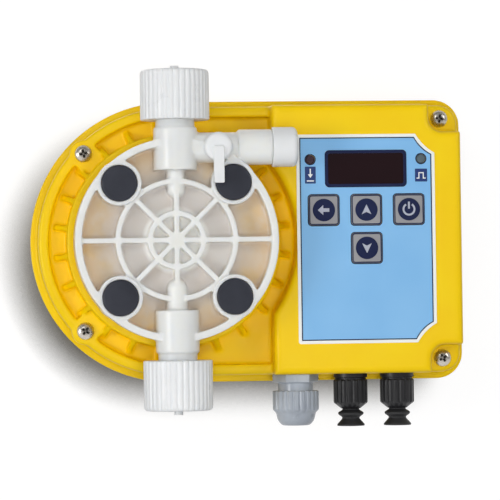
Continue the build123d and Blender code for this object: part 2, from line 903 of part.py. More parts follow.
def channel_housing(end, radius, reach):
    """Round-ended housing of the channel between a valve and the diaphragm."""
    middle = (reach + radius + valve_body_start) / 2
    straight = valve_body_start - reach - radius
    with BuildSketch(front_plane(turret_depth)) as footprint:
        with Locations((0, end * middle)):
            Rectangle(2 * radius, straight)
        with Locations((0, end * (reach + radius))):
            Circle(radius)
    extrude(footprint.sketch, amount=channel_axis_depth - turret_depth)
    bars(upright_axis(0, channel_axis_depth, up=end), reach + radius, valve_body_start + radius, radius)
    with Locations((0, -channel_axis_depth, end * (reach + radius))):
        Sphere(radius)


with BuildPart() as pump_head:
    # dished plate with its rings, spokes and bolt bosses
    head_ring(head_r, head_rim_t, head_depth)
    bars(Plane.XZ, turret_depth, turret_depth + mid_floor_t, mid_ring_r)
    bars(Plane.XZ, turret_depth, turret_depth + hub_floor_t, inner_ring_r)
    with BuildSketch(front_plane(turret_depth)):
        Circle(mid_ring_r)
        Circle(mid_ring_r - mid_ring_t, mode=Mode.SUBTRACT)
        Circle(inner_ring_r)
        Circle(inner_ring_r - inner_ring_t, mode=Mode.SUBTRACT)
        Rectangle(2 * head_r - head_rim_t, spoke_t)
        Rectangle(spoke_t, 2 * head_r - head_rim_t)
        Rectangle(2 * mid_ring_r - mid_ring_t, spoke_t, rotation=45)
        Rectangle(2 * mid_ring_r - mid_ring_t, spoke_t, rotation=-45)
    extrude(amount=web_depth - turret_depth)
    bars(Plane.XZ, turret_depth, head_depth, boss_r, bolt_centres)

    # valve bodies with their threaded spigots, bridges down to the floor, and channel housings
    for end in (1, -1):
        turned(port_plane(end), (
            (0, valve_body_start),
            (valve_body_r, valve_body_start),
            (valve_body_r, valve_body_end),
            (spigot_r, valve_body_end),
            (spigot_r, spigot_end),
            (0, spigot_end),
        ))
        bridge_end = sqrt(head_r**2 - valve_body_r**2)
        slab(
            turret_depth,
            valve_depth,
            2 * valve_body_r,
            bridge_end - valve_body_start,
            (0, end * (bridge_end + valve_body_start) / 2),
        )
    channel_housing(1, top_channel_r, top_channel_end)
    channel_housing(-1, bottom_channel_r, bottom_channel_end)

    # bleed arm with the seat of its knob, barrel and threaded spigot
    turned(level_axis(valve_depth, bleed_z), (
        (0, 0),
        (bleed_arm_r, 0),
        (bleed_arm_r, bleed_arm_end),
        (bleed_barrel_r, bleed_arm_end),
        (bleed_barrel_r, bleed_barrel_end),
        (bleed_spigot_r, bleed_barrel_end),
        (bleed_spigot_r, bleed_spigot_end),
        (0, bleed_spigot_end),
    ))
    bars(Plane.XZ, valve_depth, knob_base_depth, knob_r - knob_gap, ((knob_x, bleed_z),))

    # inside: dish behind the floor, valve chambers, channels and bleed passage
    bars(Plane.XZ, turret_depth, turret_depth + dish_h, dish_r, mode=Mode.SUBTRACT)
    for end in (1, -1):
        bars(port_plane(end), chamber_start, spigot_end, chamber_r, mode=Mode.SUBTRACT)
        bars(port_plane(end), channel_cross_z, chamber_start, channel_bore_r, mode=Mode.SUBTRACT)
        bars(
            Plane.XZ,
            turret_depth,
            valve_depth,
            channel_bore_r,
            ((0, end * channel_cross_z),),
            Mode.SUBTRACT,
        )
    bars(level_axis(valve_depth, bleed_z), 0, bleed_spigot_end, bleed_bore_r, mode=Mode.SUBTRACT)
    bars(
        level_axis(valve_depth, bleed_z),
        bleed_spigot_end - bleed_pocket_len,
        bleed_spigot_end,
        bleed_pocket_r,
        mode=Mode.SUBTRACT,
    )
    bars(
        Plane.XZ,
        spindle_end_depth - fit_gap,
        knob_base_depth,
        spindle_r + spindle_clear,
        ((knob_x, bleed_z),),
        Mode.SUBTRACT,
    )

    # bolt holes, with a wide counterbore for the cap
    bars(Plane.XZ, turret_depth, head_depth, bolt_r + bolt_clear, bolt_centres, Mode.SUBTRACT)
    bars(Plane.XZ, washer_depth, head_depth, cap_r + cap_clear, bolt_centres, Mode.SUBTRACT)
save(pump_head, "pump_head")

with BuildPart() as head_inserts:
    bars(Plane.XZ, plate_depth - bolt_boss_len, plate_depth, insert_r, bolt_centres)
    bars(
        Plane.XZ,
        plate_depth - bolt_boss_len,
        plate_depth,
        bolt_r + thread_clear,
        bolt_centres,
        Mode.SUBTRACT,
    )
save(head_inserts, "head_inserts")

with BuildPart() as head_washers:
    bars(Plane.XZ, washer_depth, washer_depth + washer_t, washer_r, bolt_centres)
    bars(Plane.XZ, washer_depth, washer_depth + washer_t, bolt_r + bolt_clear, bolt_centres, Mode.SUBTRACT)
save(head_washers, "head_washers")

with BuildPart() as head_bolts:
    bolt_seat = washer_depth + washer_t
    bars(Plane.XZ, turret_depth - bolt_grip, bolt_seat, bolt_r, bolt_centres)
    bars(Plane.XZ, bolt_seat, bolt_seat + bolt_head_h, bolt_head_r, bolt_centres)
    with BuildSketch(front_plane(bolt_seat + bolt_head_h)):
        with Locations(*bolt_centres):
            RegularPolygon(hex_key_r, 6)
    extrude(amount=-bolt_head_h / 2, mode=Mode.SUBTRACT)
save(head_bolts, "head_bolts")

with BuildPart() as bolt_caps:
    for x, z in bolt_centres:
        turned(deep_axis(x, z), (
            (0, head_depth - cap_t),
            (cap_r, head_depth - cap_t),
            (cap_r, head_depth),
            (cap_r * 0.9, head_depth + cap_crown * 0.6),
            (cap_r * 0.5, head_depth + cap_crown),
            (0, head_depth + cap_crown),
        ))
save(bolt_caps, "bolt_caps")


# ---------------------------------------------------------------- valve cartridges and their unions
def cartridge_plane(end):
    """Axis of a ball valve cartridge, from its lower end; both valves open upwards."""
    base = chamber_start if end == 1 else -chamber_start - cartridge_len
    return upright_axis(0, valve_depth, base)


cartridge_r = chamber_r - cartridge_clear
cone_start = seat_h - seat_cone_h
ball_centre = cone_start - seat_bore_r + (ball_r + ball_gap) * sqrt(2)
cage_stop = ball_centre + ball_r + ball_lift + cage_stop_clear
for end, side in ((1, "discharge"), (-1, "suction")):
    with BuildPart() as valve_seat:
        turned(cartridge_plane(end), (
            (seat_bore_r, 0),
            (cartridge_r, 0),
            (cartridge_r, seat_h),
            (seat_bore_r + seat_cone_h, seat_h),
            (seat_bore_r, cone_start),
        ))
    save(valve_seat, f"{side}_seat")

    with BuildPart() as valve_ball:
        with Locations(cartridge_plane(end).offset(ball_centre)):
            Sphere(ball_r)
    save(valve_ball, f"{side}_ball")

    with BuildPart() as valve_cage:
        turned(cartridge_plane(end), (
            (max(cage_bore_r, seat_bore_r + seat_cone_h), seat_h),
            (cartridge_r, seat_h),
            (cartridge_r, cartridge_len),
            (cage_bore_r, cartridge_len),
            (cage_bore_r, cage_stop + cage_stop_t),
            (cage_stop_r, cage_stop + cage_stop_t),
            (cage_stop_r, cage_stop),
            (cage_bore_r, cage_stop),
            (cage_bore_r, seat_h + seat_cone_h / 2),
        ))
        with BuildSketch(cartridge_plane(end).offset(ball_centre)):
            Rectangle(2 * cage_slot_r, cage_slot_w)
            Rectangle(cage_slot_w, 2 * cage_slot_r)
        extrude(amount=cage_stop + cage_stop_t - ball_centre, mode=Mode.SUBTRACT)
    save(valve_cage, f"{side}_cage")

    ring_height = (chamber_start + cartridge_len + spigot_end) / 2
    ring_r = chamber_r - ring_wire_r - ring_groove_clear
    with BuildPart() as union_ring:
        turned(port_plane(end), [
            (ring_r + ring_wire_r * cos(radians(a)), ring_height + ring_wire_r * sin(radians(a)))
            for a in range(0, 360, 45)
        ])
    save(union_ring, f"{side}_o_ring")

    nut_end = nut_start + nut_len
    flange_end = spigot_end + fit_gap + nipple_flange_t
    groove_half = ring_wire_r + ring_groove_clear
    with BuildPart() as nipple:
        turned(port_plane(end), (
            (nipple_bore_r, chamber_start + cartridge_len + fit_gap),
            (cartridge_r, chamber_start + cartridge_len + fit_gap),
            (cartridge_r, ring_height - groove_half),
            (ring_r - groove_half, ring_height - groove_half),
            (ring_r - groove_half, ring_height + groove_half),
            (cartridge_r, ring_height + groove_half),
            (cartridge_r, spigot_end + fit_gap),
            (spigot_r, spigot_end + fit_gap),
            (spigot_r, flange_end),
            (nipple_cone_r - 0.2, flange_end),
            (nipple_tip_r, flange_end + nipple_cone_len),
            (nipple_tip_r, nut_end + nipple_proud),
            (nipple_bore_r, nut_end + nipple_proud),
        ))
    save(nipple, f"{side}_nipple")

    with BuildPart() as union_nut:
        bars(port_plane(end), nut_start, nut_end, nut_r)
        fillet(union_nut.edges().sort_by(Axis.Z)[-1 if end == 1 else 0], nut_edge_r)
        flute_ring = nut_r + flute_r - flute_cut
        with BuildSketch(port_plane(end).offset(nut_start)):
            with PolarLocations(flute_ring, flute_count):
                RegularPolygon(flute_r, 4)
        extrude(amount=nut_len, mode=Mode.SUBTRACT)
        bars(port_plane(end), nut_start, flange_end + fit_gap, spigot_r + nut_clear, mode=Mode.SUBTRACT)
        bars(port_plane(end), flange_end, nut_end, nut_mouth_r, mode=Mode.SUBTRACT)
    save(union_nut, f"{side}_nut")

# ---------------------------------------------------------------- bleed valve
bleed_line = level_axis(valve_depth, bleed_z)
knob_axis = deep_axis(knob_x, bleed_z)
knob_back = knob_base_depth + knob_gap
lever_back = knob_back + knob_t + lever_proud - lever_t
with BuildPart() as bleed_lever:
    bars(knob_axis, knob_back, knob_back + knob_t, knob_r)
    fillet(bleed_lever.edges().sort_by(Axis.Y)[0], knob_edge_r)
    bars(knob_axis, spindle_end_depth, knob_back, spindle_r)
    with BuildSketch(front_plane(lever_back)):
        with Locations((knob_x, bleed_z - lever_reach / 2)):
            RectangleRounded(lever_w, lever_reach, 0.6)
    extrude(amount=lever_t)
    # the cross passage lies upright while the valve is shut
    bars(
        upright_axis(knob_x, valve_depth, bleed_z),
        -spindle_r,
        spindle_r,
        bleed_bore_r,
        mode=Mode.SUBTRACT,
    )
    groove_r = spindle_r - spindle_ring_wire_r
    turned(knob_axis, (
        (groove_r, spindle_ring_depth - spindle_ring_wire_r - ring_groove_clear),
        (spindle_r + 1, spindle_ring_depth - spindle_ring_wire_r - ring_groove_clear),
        (spindle_r + 1, spindle_ring_depth + spindle_ring_wire_r + ring_groove_clear),
        (groove_r, spindle_ring_depth + spindle_ring_wire_r + ring_groove_clear),
    ), Mode.SUBTRACT)
save(bleed_lever, "bleed_lever")

bleed_flange_back = bleed_spigot_end + fit_gap
bleed_tip_end = bleed_nut_end - bleed_tip_back
with BuildPart() as bleed_nipple:
    turned(bleed_line, (
        (nipple_bore_r, bleed_spigot_end - bleed_pocket_len + fit_gap),
        (bleed_pocket_r - cartridge_clear, bleed_spigot_end - bleed_pocket_len + fit_gap),
        (bleed_pocket_r - cartridge_clear, bleed_flange_back),
        (bleed_spigot_r, bleed_flange_back),
        (bleed_spigot_r, bleed_flange_back + bleed_flange_t),
        (nipple_tip_r, bleed_flange_back + bleed_flange_t),
        (nipple_tip_r, bleed_tip_end),
        (nipple_bore_r, bleed_tip_end),
    ))
save(bleed_nipple, "bleed_nipple")

with BuildPart() as bleed_nut:
    bars(bleed_line, bleed_barrel_end + fit_gap, bleed_nut_end, bleed_nut_r)
    fillet(bleed_nut.edges().sort_by(Axis.X)[-1], bleed_nut_edge_r)
    bars(
        bleed_line,
        bleed_barrel_end + fit_gap,
        bleed_flange_back + bleed_flange_t + fit_gap,
        bleed_spigot_r + nut_clear,
        mode=Mode.SUBTRACT,
    )
    bars(bleed_line, bleed_flange_back, bleed_nut_end, bleed_nut_mouth_r, mode=Mode.SUBTRACT)
save(bleed_nut, "bleed_nut")

# ---------------------------------------------------------------- keypad and electronics
with BuildPart() as keypad_overlay:
    cut_mid = panel_cut / 2 + panel_cut_bow / sqrt(2)
    with BuildSketch(front_plane(block_depth)):
        with BuildLine():
            Polyline(
                (panel_right, -panel_half_h + panel_cut),
                (panel_right, panel_half_h - panel_cut),
            )
            ThreePointArc(
                (panel_right, panel_half_h - panel_cut),
                (panel_right - cut_mid, panel_half_h - cut_mid),
                (panel_right - panel_cut, panel_half_h),
            )
            Polyline(
                (panel_right - panel_cut, panel_half_h),
                (panel_left, panel_half_h),
                (panel_left, -panel_half_h),
                (panel_right - panel_cut, -panel_half_h),
            )
            ThreePointArc(
                (panel_right - panel_cut, -panel_half_h),
                (panel_right - cut_mid, cut_mid - panel_half_h),
                (panel_right, panel_cut - panel_half_h),
            )
        make_face()
        with Locations((window_x, window_z)):
            RectangleRounded(
                window_w + 2 * window_clear,
                window_h + 2 * window_clear,
                window_corner_r + window_clear,
                mode=Mode.SUBTRACT,
            )
        with Locations(*key_places.values()):
            RectangleRounded(
                key_w + 2 * key_clear,
                key_w + 2 * key_clear,
                key_corner_r + key_clear,
                mode=Mode.SUBTRACT,
            )
        with Locations(*led_places):
            Circle(led_r + led_clear, mode=Mode.SUBTRACT)
    extrude(amount=overlay_t)
    fillet(keypad_overlay.edges().filter_by(Axis.Y).group_by(Axis.X)[0], panel_corner_r)
save(keypad_overlay, "keypad_overlay")

with BuildPart() as display_window:
    window_front = overlay_front + window_proud
    slab(window_front - window_t, window_front, window_w, window_h, (window_x, window_z), window_corner_r)
save(display_window, "display_window")

with BuildPart() as control_board:
    board_middle = ((board_left + board_right) / 2, (board_bottom + board_top) / 2)
    slab(board_depth, board_front, board_right - board_left, board_top - board_bottom, board_middle)
    bars(Plane.XZ, board_depth, board_front, board_screw_r + screw_clear, board_posts, Mode.SUBTRACT)
    slab(
        board_depth - terminal_t,
        board_depth,
        terminal_w,
        terminal_h,
        (board_left + board_post_inset + terminal_w, board_bottom + board_post_inset + terminal_h),
    )
    bars(
        Plane.XZ,
        board_depth - capacitor_len,
        board_depth,
        capacitor_r,
        ((board_right - board_post_inset - 2 * capacitor_r, board_middle[1]),),
    )
save(control_board, "control_board")

with BuildPart() as board_screws:
    bars(Plane.XZ, board_depth, board_front + board_screw_bite - fit_gap, board_screw_r, board_posts)
    bars(Plane.XZ, board_depth - board_screw_head_h, board_depth, board_screw_head_r, board_posts)
save(board_screws, "board_screws")

with BuildPart() as display_module:
    slab(board_front, face_inside - fit_gap, module_w, module_h, (window_x, window_z))
save(display_module, "display_module")

with BuildPart() as status_leds:
    lamp_front = overlay_front + led_proud
    for x, z in led_places:
        turned(deep_axis(x, z), (
            (0, board_front),
            (led_flange_r, board_front),
            (led_flange_r, board_front + led_flange_t),
            (led_r, board_front + led_flange_t),
            (led_r, lamp_front - led_r / 3),
            (led_r * 0.75, lamp_front - led_r / 10),
            (0, lamp_front),
        ))
save(status_leds, "status_leds")

with BuildPart() as key_switches:
    for place in key_places.values():
        slab(board_front, board_front + switch_body_h, switch_w, switch_w, place)
    bars(Plane.XZ, board_front, key_stem_back - key_travel - fit_gap, switch_button_r, key_places.values())
save(key_switches, "key_switches")

for name, place in key_places.items():
    with BuildPart() as key:
        slab(key_flange_front, overlay_front + key_proud, key_w, key_w, place, key_corner_r)
        slab(
            key_flange_front - key_flange_t,
            key_flange_front,
            key_w + 2 * key_flange,
            key_w + 2 * key_flange,
            place,
            key_corner_r,
        )
        bars(Plane.XZ, key_stem_back, key_flange_front, key_stem_r, (place,))
    save(key, name)

# ---------------------------------------------------------------- cable gland
gland_axis = upright_axis(gland_x, port_depth, -wall_line, -1)     # heights run down from the wall
gland_neck_end = gland_flange_t + gland_neck_len
with BuildPart() as gland_body:
    bars(gland_axis, -wall_t - gland_boss_h, 0, gland_thread_r)
    with BuildSketch(gland_axis):
        RegularPolygon(gland_af / 2, 6, major_radius=False)
    extrude(amount=gland_flange_t)
    bars(gland_axis, gland_flange_t, gland_neck_end, gland_neck_r)
    bars(gland_axis, -wall_t - gland_boss_h, gland_neck_end, gland_bore_r, mode=Mode.SUBTRACT)
save(gland_body, "gland_body")

dome_end = dome_start + dome_len + dome_taper_len
seal_start = gland_neck_end - seal_len / 2
with BuildPart() as gland_seal:
    turned(gland_axis, (
        (seal_bore_r, seal_start),
        (gland_bore_r - seal_clear, seal_start),
        (gland_bore_r - seal_clear, gland_neck_end + fit_gap),
        (gland_neck_r - seal_clear, gland_neck_end + fit_gap),
        (gland_bore_r - seal_clear, seal_start + seal_len),
        (seal_bore_r, seal_start + seal_len),
    ))
save(gland_seal, "gland_seal")

with BuildPart() as gland_dome_nut:
    turned(gland_axis, (
        (0, dome_start),
        (dome_r, dome_start),
        (dome_r, dome_start + dome_len),
        (dome_taper_r + 0.8, dome_end - 1.6),
        (dome_taper_r - 0.6, dome_end - 0.4),
        (dome_taper_r - 1.8, dome_end),
        (0, dome_end),
    ))
    with BuildSketch(gland_axis.offset(dome_start)):
        with PolarLocations(dome_r + flute_r - flute_cut, dome_flute_count):
            RegularPolygon(flute_r, 4)
    extrude(amount=dome_len, mode=Mode.SUBTRACT)
    turned(gland_axis, (
        (0, dome_start),
        (gland_neck_r + dome_clear, dome_start),
        (gland_neck_r + dome_clear, gland_neck_end + 2 * fit_gap),
        (gland_bore_r + fit_gap, seal_start + seal_len + 2 * fit_gap),
        (dome_mouth_r, seal_start + seal_len + 2 * fit_gap),
        (dome_mouth_r, dome_end),
        (0, dome_end),
    ), Mode.SUBTRACT)
save(gland_dome_nut, "gland_dome_nut")

# ---------------------------------------------------------------- signal sockets, plugs and strain reliefs
for side, x in zip(("level", "pulse"), socket_x):
    socket_axis = upright_axis(x, port_depth, -wall_line, -1)
    barrel_end = socket_flange_t + socket_barrel_len
    contact_base = socket_flange_t + 1
    with BuildPart() as socket:
        turned(socket_axis, (
            (0, -wall_t - socket_thread_in),
            (socket_thread_r, -wall_t - socket_thread_in),
            (socket_thread_r, 0),
            (socket_flange_r, 0),
            (socket_flange_r, socket_flange_t),
            (socket_barrel_r, socket_flange_t),
            (socket_barrel_r, barrel_end),
            (socket_barrel_r - 1, barrel_end),
            (socket_barrel_r - 1, contact_base),
            (0, contact_base),
        ))
        with BuildSketch(socket_axis.offset(contact_base)):
            with PolarLocations(contact_ring_r, contact_count):
                Circle(contact_r)
        extrude(amount=barrel_end - contact_base - 1)
    save(socket, f"{side}_socket")

    plug_start = socket_flange_t + fit_gap
    plug_end = plug_start + plug_len
    taper_end = plug_end + plug_taper_len
    with BuildPart() as plug:
        turned(socket_axis, (
            (0, plug_start),
            (plug_r, plug_start),
            (plug_r, plug_end),
            (boot_neck_r, taper_end),
            (0, taper_end),
        ))
        with BuildSketch(socket_axis.offset(plug_start + plug_grip_w)):
            with PolarLocations(plug_r, plug_grip_count):
                Rectangle(2 * plug_grip_cut, plug_grip_w)
        extrude(amount=plug_len - 2 * plug_grip_w, mode=Mode.SUBTRACT)
        bars(socket_axis, plug_start, barrel_end + fit_gap, socket_barrel_r + plug_clear, mode=Mode.SUBTRACT)
        bars(socket_axis, taper_end - boot_root_len, taper_end, boot_root_r, mode=Mode.SUBTRACT)
    save(plug, f"{side}_plug")

    boot_start = taper_end - boot_root_len + fit_gap
    boot_end = plug_end + boot_len
    with BuildPart() as boot:
        turned(socket_axis, (
            (boot_bore_r, boot_start),
            (boot_root_r - fit_gap / 2, boot_start),
            (boot_root_r - fit_gap / 2, taper_end + fit_gap),
            (boot_neck_r, taper_end + fit_gap),
            (boot_rib_r, taper_end + boot_rib_pitch * 0.35),
            (boot_rib_r, taper_end + boot_rib_pitch * 0.6),
            (boot_neck_r, taper_end + boot_rib_pitch),
            (boot_neck_r, taper_end + boot_rib_pitch * 1.15),
            (boot_flare_r, boot_end - 1.0),
            (boot_flare_r, boot_end),
            (boot_bore_r, boot_end),
        ))
    save(boot, f"{side}_boot")

with BuildPart() as socket_nuts:
    for x in socket_x:
        with BuildSketch(upright_axis(x, port_depth, wall_t - wall_line)):
            RegularPolygon(socket_nut_af / 2, 6, major_radius=False)
            Circle(socket_thread_r + thread_clear, mode=Mode.SUBTRACT)
        extrude(amount=socket_nut_t)
save(socket_nuts, "socket_nuts")
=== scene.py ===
"""Looks of the wall-mounted metering pump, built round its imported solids.

Lengths named here are millimetres in the part's own frame, except the studio's, and become metres where a
mesh is made. X is to the right, Z is up, the front faces -Y, and a "depth" is a distance from the wall, so
depth = -Y.
"""

import json
from math import ceil, cos, pi, radians, sin

import bmesh
import bpy
from mathutils import Matrix, Vector

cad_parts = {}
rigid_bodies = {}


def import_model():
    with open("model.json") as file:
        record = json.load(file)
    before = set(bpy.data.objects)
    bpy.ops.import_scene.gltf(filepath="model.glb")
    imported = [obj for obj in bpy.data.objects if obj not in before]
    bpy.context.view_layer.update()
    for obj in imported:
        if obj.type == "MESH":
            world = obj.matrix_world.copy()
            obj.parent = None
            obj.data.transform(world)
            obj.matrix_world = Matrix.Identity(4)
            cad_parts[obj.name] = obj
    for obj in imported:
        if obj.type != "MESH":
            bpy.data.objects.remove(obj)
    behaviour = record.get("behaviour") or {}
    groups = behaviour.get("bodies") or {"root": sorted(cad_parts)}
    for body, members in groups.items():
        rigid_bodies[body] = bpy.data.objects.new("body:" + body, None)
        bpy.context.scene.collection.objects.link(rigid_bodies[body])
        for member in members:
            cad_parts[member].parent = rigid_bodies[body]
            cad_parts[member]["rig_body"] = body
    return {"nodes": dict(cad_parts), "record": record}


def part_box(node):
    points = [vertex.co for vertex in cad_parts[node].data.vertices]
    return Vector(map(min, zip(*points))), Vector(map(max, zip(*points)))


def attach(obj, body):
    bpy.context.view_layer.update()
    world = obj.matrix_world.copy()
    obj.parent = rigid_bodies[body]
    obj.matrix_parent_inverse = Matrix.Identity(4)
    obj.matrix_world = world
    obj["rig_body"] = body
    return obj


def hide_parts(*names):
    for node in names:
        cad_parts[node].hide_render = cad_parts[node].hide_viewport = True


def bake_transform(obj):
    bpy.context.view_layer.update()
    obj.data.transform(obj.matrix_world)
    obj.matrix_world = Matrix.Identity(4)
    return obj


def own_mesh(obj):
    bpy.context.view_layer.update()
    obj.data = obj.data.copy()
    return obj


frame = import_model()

MM = 0.001
MERGE = 0.001               # points nearer than this, in millimetres, become one
SHARP = radians(35)         # edges at more than this angle stay crisp
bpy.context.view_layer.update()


def middle(node):
    """Centre of a CAD node seen from the front, as (x, z) in millimetres."""
    low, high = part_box(node)
    return ((low.x + high.x) / 2 / MM, (low.z + high.z) / 2 / MM)


def high_depth(node):
    """Depth of a CAD node's front, in millimetres."""
    return -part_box(node)[0].y / MM


# ---------------------------------------------------------------- keypad: sizes of what is printed on it
PANEL_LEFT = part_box("keypad_overlay")[0].x / MM
PANEL_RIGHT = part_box("keypad_overlay")[1].x / MM
PANEL_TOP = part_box("keypad_overlay")[1].z / MM
PANEL_CUT = 9.2             # the corners cut off on the right
PANEL_CUT_BOW = 0.9         # how far these cuts are hollow
FIELD_INSET = 1.5           # white border round the printed field
LINE_W = 0.55               # navy line round the field
PRINT_T = 0.03              # one layer of print
WINDOW = middle("display_window")
WINDOW_W = (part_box("display_window")[1].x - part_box("display_window")[0].x) / MM
WINDOW_H = (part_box("display_window")[1].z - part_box("display_window")[0].z) / MM
WINDOW_R = 1.6
WINDOW_GAP = 0.25           # from the window to the print
FRAME_OUT = 0.35            # the frame's reach outside the window's edge and inside it
FRAME_IN = 1.2
FRAME_OUT_R = 2.1
FRAME_IN_R = 1.2
KEYS = {name: middle(name) for name in ("key_back", "key_up", "key_power", "key_down")}
KEY_W = 14.4
KEY_R = 1.5
KEY_GAP = 0.2               # from a key to the print
KEY_SURROUND_W = 0.3        # navy line on the panel, round a key
# inset and rise of a key's film, from its edge to its middle
KEY_PILLOW = ((0.0, 0.0), (0.1, 0.12), (0.35, 0.2), (1.0, 0.25), (3.0, 0.28))
KEY_LINE_INSET = 0.15       # navy line on a key, along its edge
KEY_LINE_W = 0.5
KEY_LINE_RISE = (0.15, 0.27)  # its back and front above the key
KEY_DISC_R = 5.4
KEY_DISC_RISE = (0.2, 0.32)
KEY_MARK_RISE = (0.3, 0.35)
LAMP_R = 2.1
LAMP_GAP = 0.15             # from a lamp to the print
LAMP_RING_W = 0.45
LAMP_BODY_R = 2.5           # its body under the film
LAMP_Z = middle("status_leds")[1]
LAMPS = [
    (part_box("status_leds")[0].x / MM + LAMP_BODY_R, LAMP_Z),
    (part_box("status_leds")[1].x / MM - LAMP_BODY_R, LAMP_Z),
]
LEVEL_ICON_DROP = 7.4       # from a lamp's centre down to its icon's
PULSE_ICON_DROP = 7.9
ICON_R = 0.3

# ---------------------------------------------------------------- pump head: zones of its colour, and of the light and shade painted on it
HEAD_FLOOR = 82.0           # depth of its pockets' floor
HEAD_FLOOR_FADE = 8.0       # over this rise the floor's colours give way to the ribs' own
HUB_RING_R = 15.5
MID_RING_R = 30.5

# ---------------------------------------------------------------- turned fittings, inside their outlines
NUT_FLUTE_COUNT = 36        # union nuts
NUT_FLUTE_CUT = 0.55
NUT_BORE_R = 9.5
NUT_STEP = 16.6             # height at which the bore narrows to the mouth
NUT_MOUTH_R = 3.9
NUT_EDGE = 2.6              # its rounded outer edge
NUT_RIM_W = 1.2             # flat rim of its end face, and how far the face inside it is sunk
NUT_SINK = 0.5
NUT_FUNNEL_W = 1.4          # the mouth's funnel
NUT_FUNNEL_H = 0.7
DOME_FLUTE_COUNT = 22       # cable gland
DOME_FLUTE_CUT = 0.8
DOME_FLUTE_FADE = 1.2
DOME_BORE_R = 8.75
DOME_MOUTH_R = 5.2
PLUG_GRIP_COUNT = 16        # signal plugs
PLUG_GRIP_CUT = 0.6
PLUG_GRIP_FADE = 0.5
PLUG_COLLAR_IN = 0.7
PLUG_TAPER_H = 2.9
PLUG_NECK_R = 4.15          # where a plug ends and its strain relief goes on
PLUG_BORE_R = 5.2
PLUG_BORE_LEN = 7.0
BOOT_BORE_R = 2.6
BOOT_SPIGOT_R = 3.2
SCREW_HEAD_R = 4.15         # casing screws
SCREW_HEAD_H = 2.6
SCREW_R = 1.95
SCREW_LEN = 34.0
SCREW_TURNS = (12, 55, -8, 30)
CROSS_L = 5.0               # the cutter of their cross recess, at its top and at its bottom
CROSS_W = 1.25
CROSS_DEPTH = 2.0
CROSS_OVER = 0.5            # how far it stands out of the head
CROSS_BOTTOM_L = 1.75
CROSS_BOTTOM_W = 0.5

# ---------------------------------------------------------------- diaphragm
DIAPHRAGM_DOME_R = 16.0
DIAPHRAGM_DOME_H = 1.1
DIAPHRAGM_FREE_R = 25.0     # the head's dish, inside which it can bend
DIAPHRAGM_SECTORS = 8
DIAPHRAGM_STEP = 1.0        # spacing of the points that bend

# ---------------------------------------------------------------- camera, as the photograph was taken
CAMERA_TARGET = (36.5, -42.0, 0.0)
CAMERA_AZIMUTH = -5.2
CAMERA_ELEVATION = -1.25
CAMERA_ROLL = -0.8
CAMERA_DISTANCE = 1400.0
CAMERA_LENS = 207.0
CAMERA_SHIFT = (0.0093, -0.0173)

# ---------------------------------------------------------------- studio, in metres and watts
# name, place, diameter, power
STUDIO_LAMPS = (
    ("front", (0.05, -1.5, -0.15), 0.6, 6.2),
    ("key", (-0.4, -1.4, 0.55), 0.5, 2.5),
    ("left", (-1.15, -1.0, -0.05), 0.5, 6.6),
    ("right", (0.95, -1.05, 0.4), 0.4, 2.5),
    ("low", (-0.1, -1.2, -0.85), 0.5, 3.3),
    ("back", (-0.3, 1.3, 0.9), 0.9, 14.0),
)
STUDIO_AIM = (0.03, -0.05, 0.0)
SKY = 0.3                   # light from all round
WHITE = (1.0, 1.0, 1.0, 1.0)
STAGE_COLOUR = (0.2, 0.2, 0.205, 1.0)
STAGE_GLOW = 0.86           # the stage's own white
SHADOW_FROM = (0.58, -0.6, 0.55)
SHADOW_REACH = 28.0 * MM
SHADOW_RANGE = (0.44, 0.84)  # open share of the sky from full shadow to none
CONTACT = 0.005             # shorter rays pass through the stage
WALL_Y = 0.0006
WALL_TOP = 1.6
WALL_HALF_W = 2.0
FLOOR_Z = -0.6
FLOOR_HALF_W = 3.0


# ---------------------------------------------------------------- small helpers
def srgb(red, green, blue):
    """Linear colour of an sRGB triple from 0 to 255."""
    def linear(value):
        value /= 255
        return value / 12.92 if value <= 0.04045 else ((value + 0.055) / 1.055) ** 2.4
    return (linear(red), linear(green), linear(blue), 1.0)


def body_of(node):
    """Name of the body that carries a CAD node."""
    return frame["nodes"][node]["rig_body"]


def link(piece):
    """Put a new object into the scene."""
    bpy.context.scene.collection.objects.link(piece)
    return piece


def shown_mesh(piece):
    """The mesh of a piece with its modifiers applied."""
    graph = bpy.context.evaluated_depsgraph_get()
    return bpy.data.meshes.new_from_object(piece.evaluated_get(graph))


def shade_smooth(mesh):
    """Let all of a mesh's faces shade as one skin."""
    mesh.polygons.foreach_set("use_smooth", [True] * len(mesh.polygons))


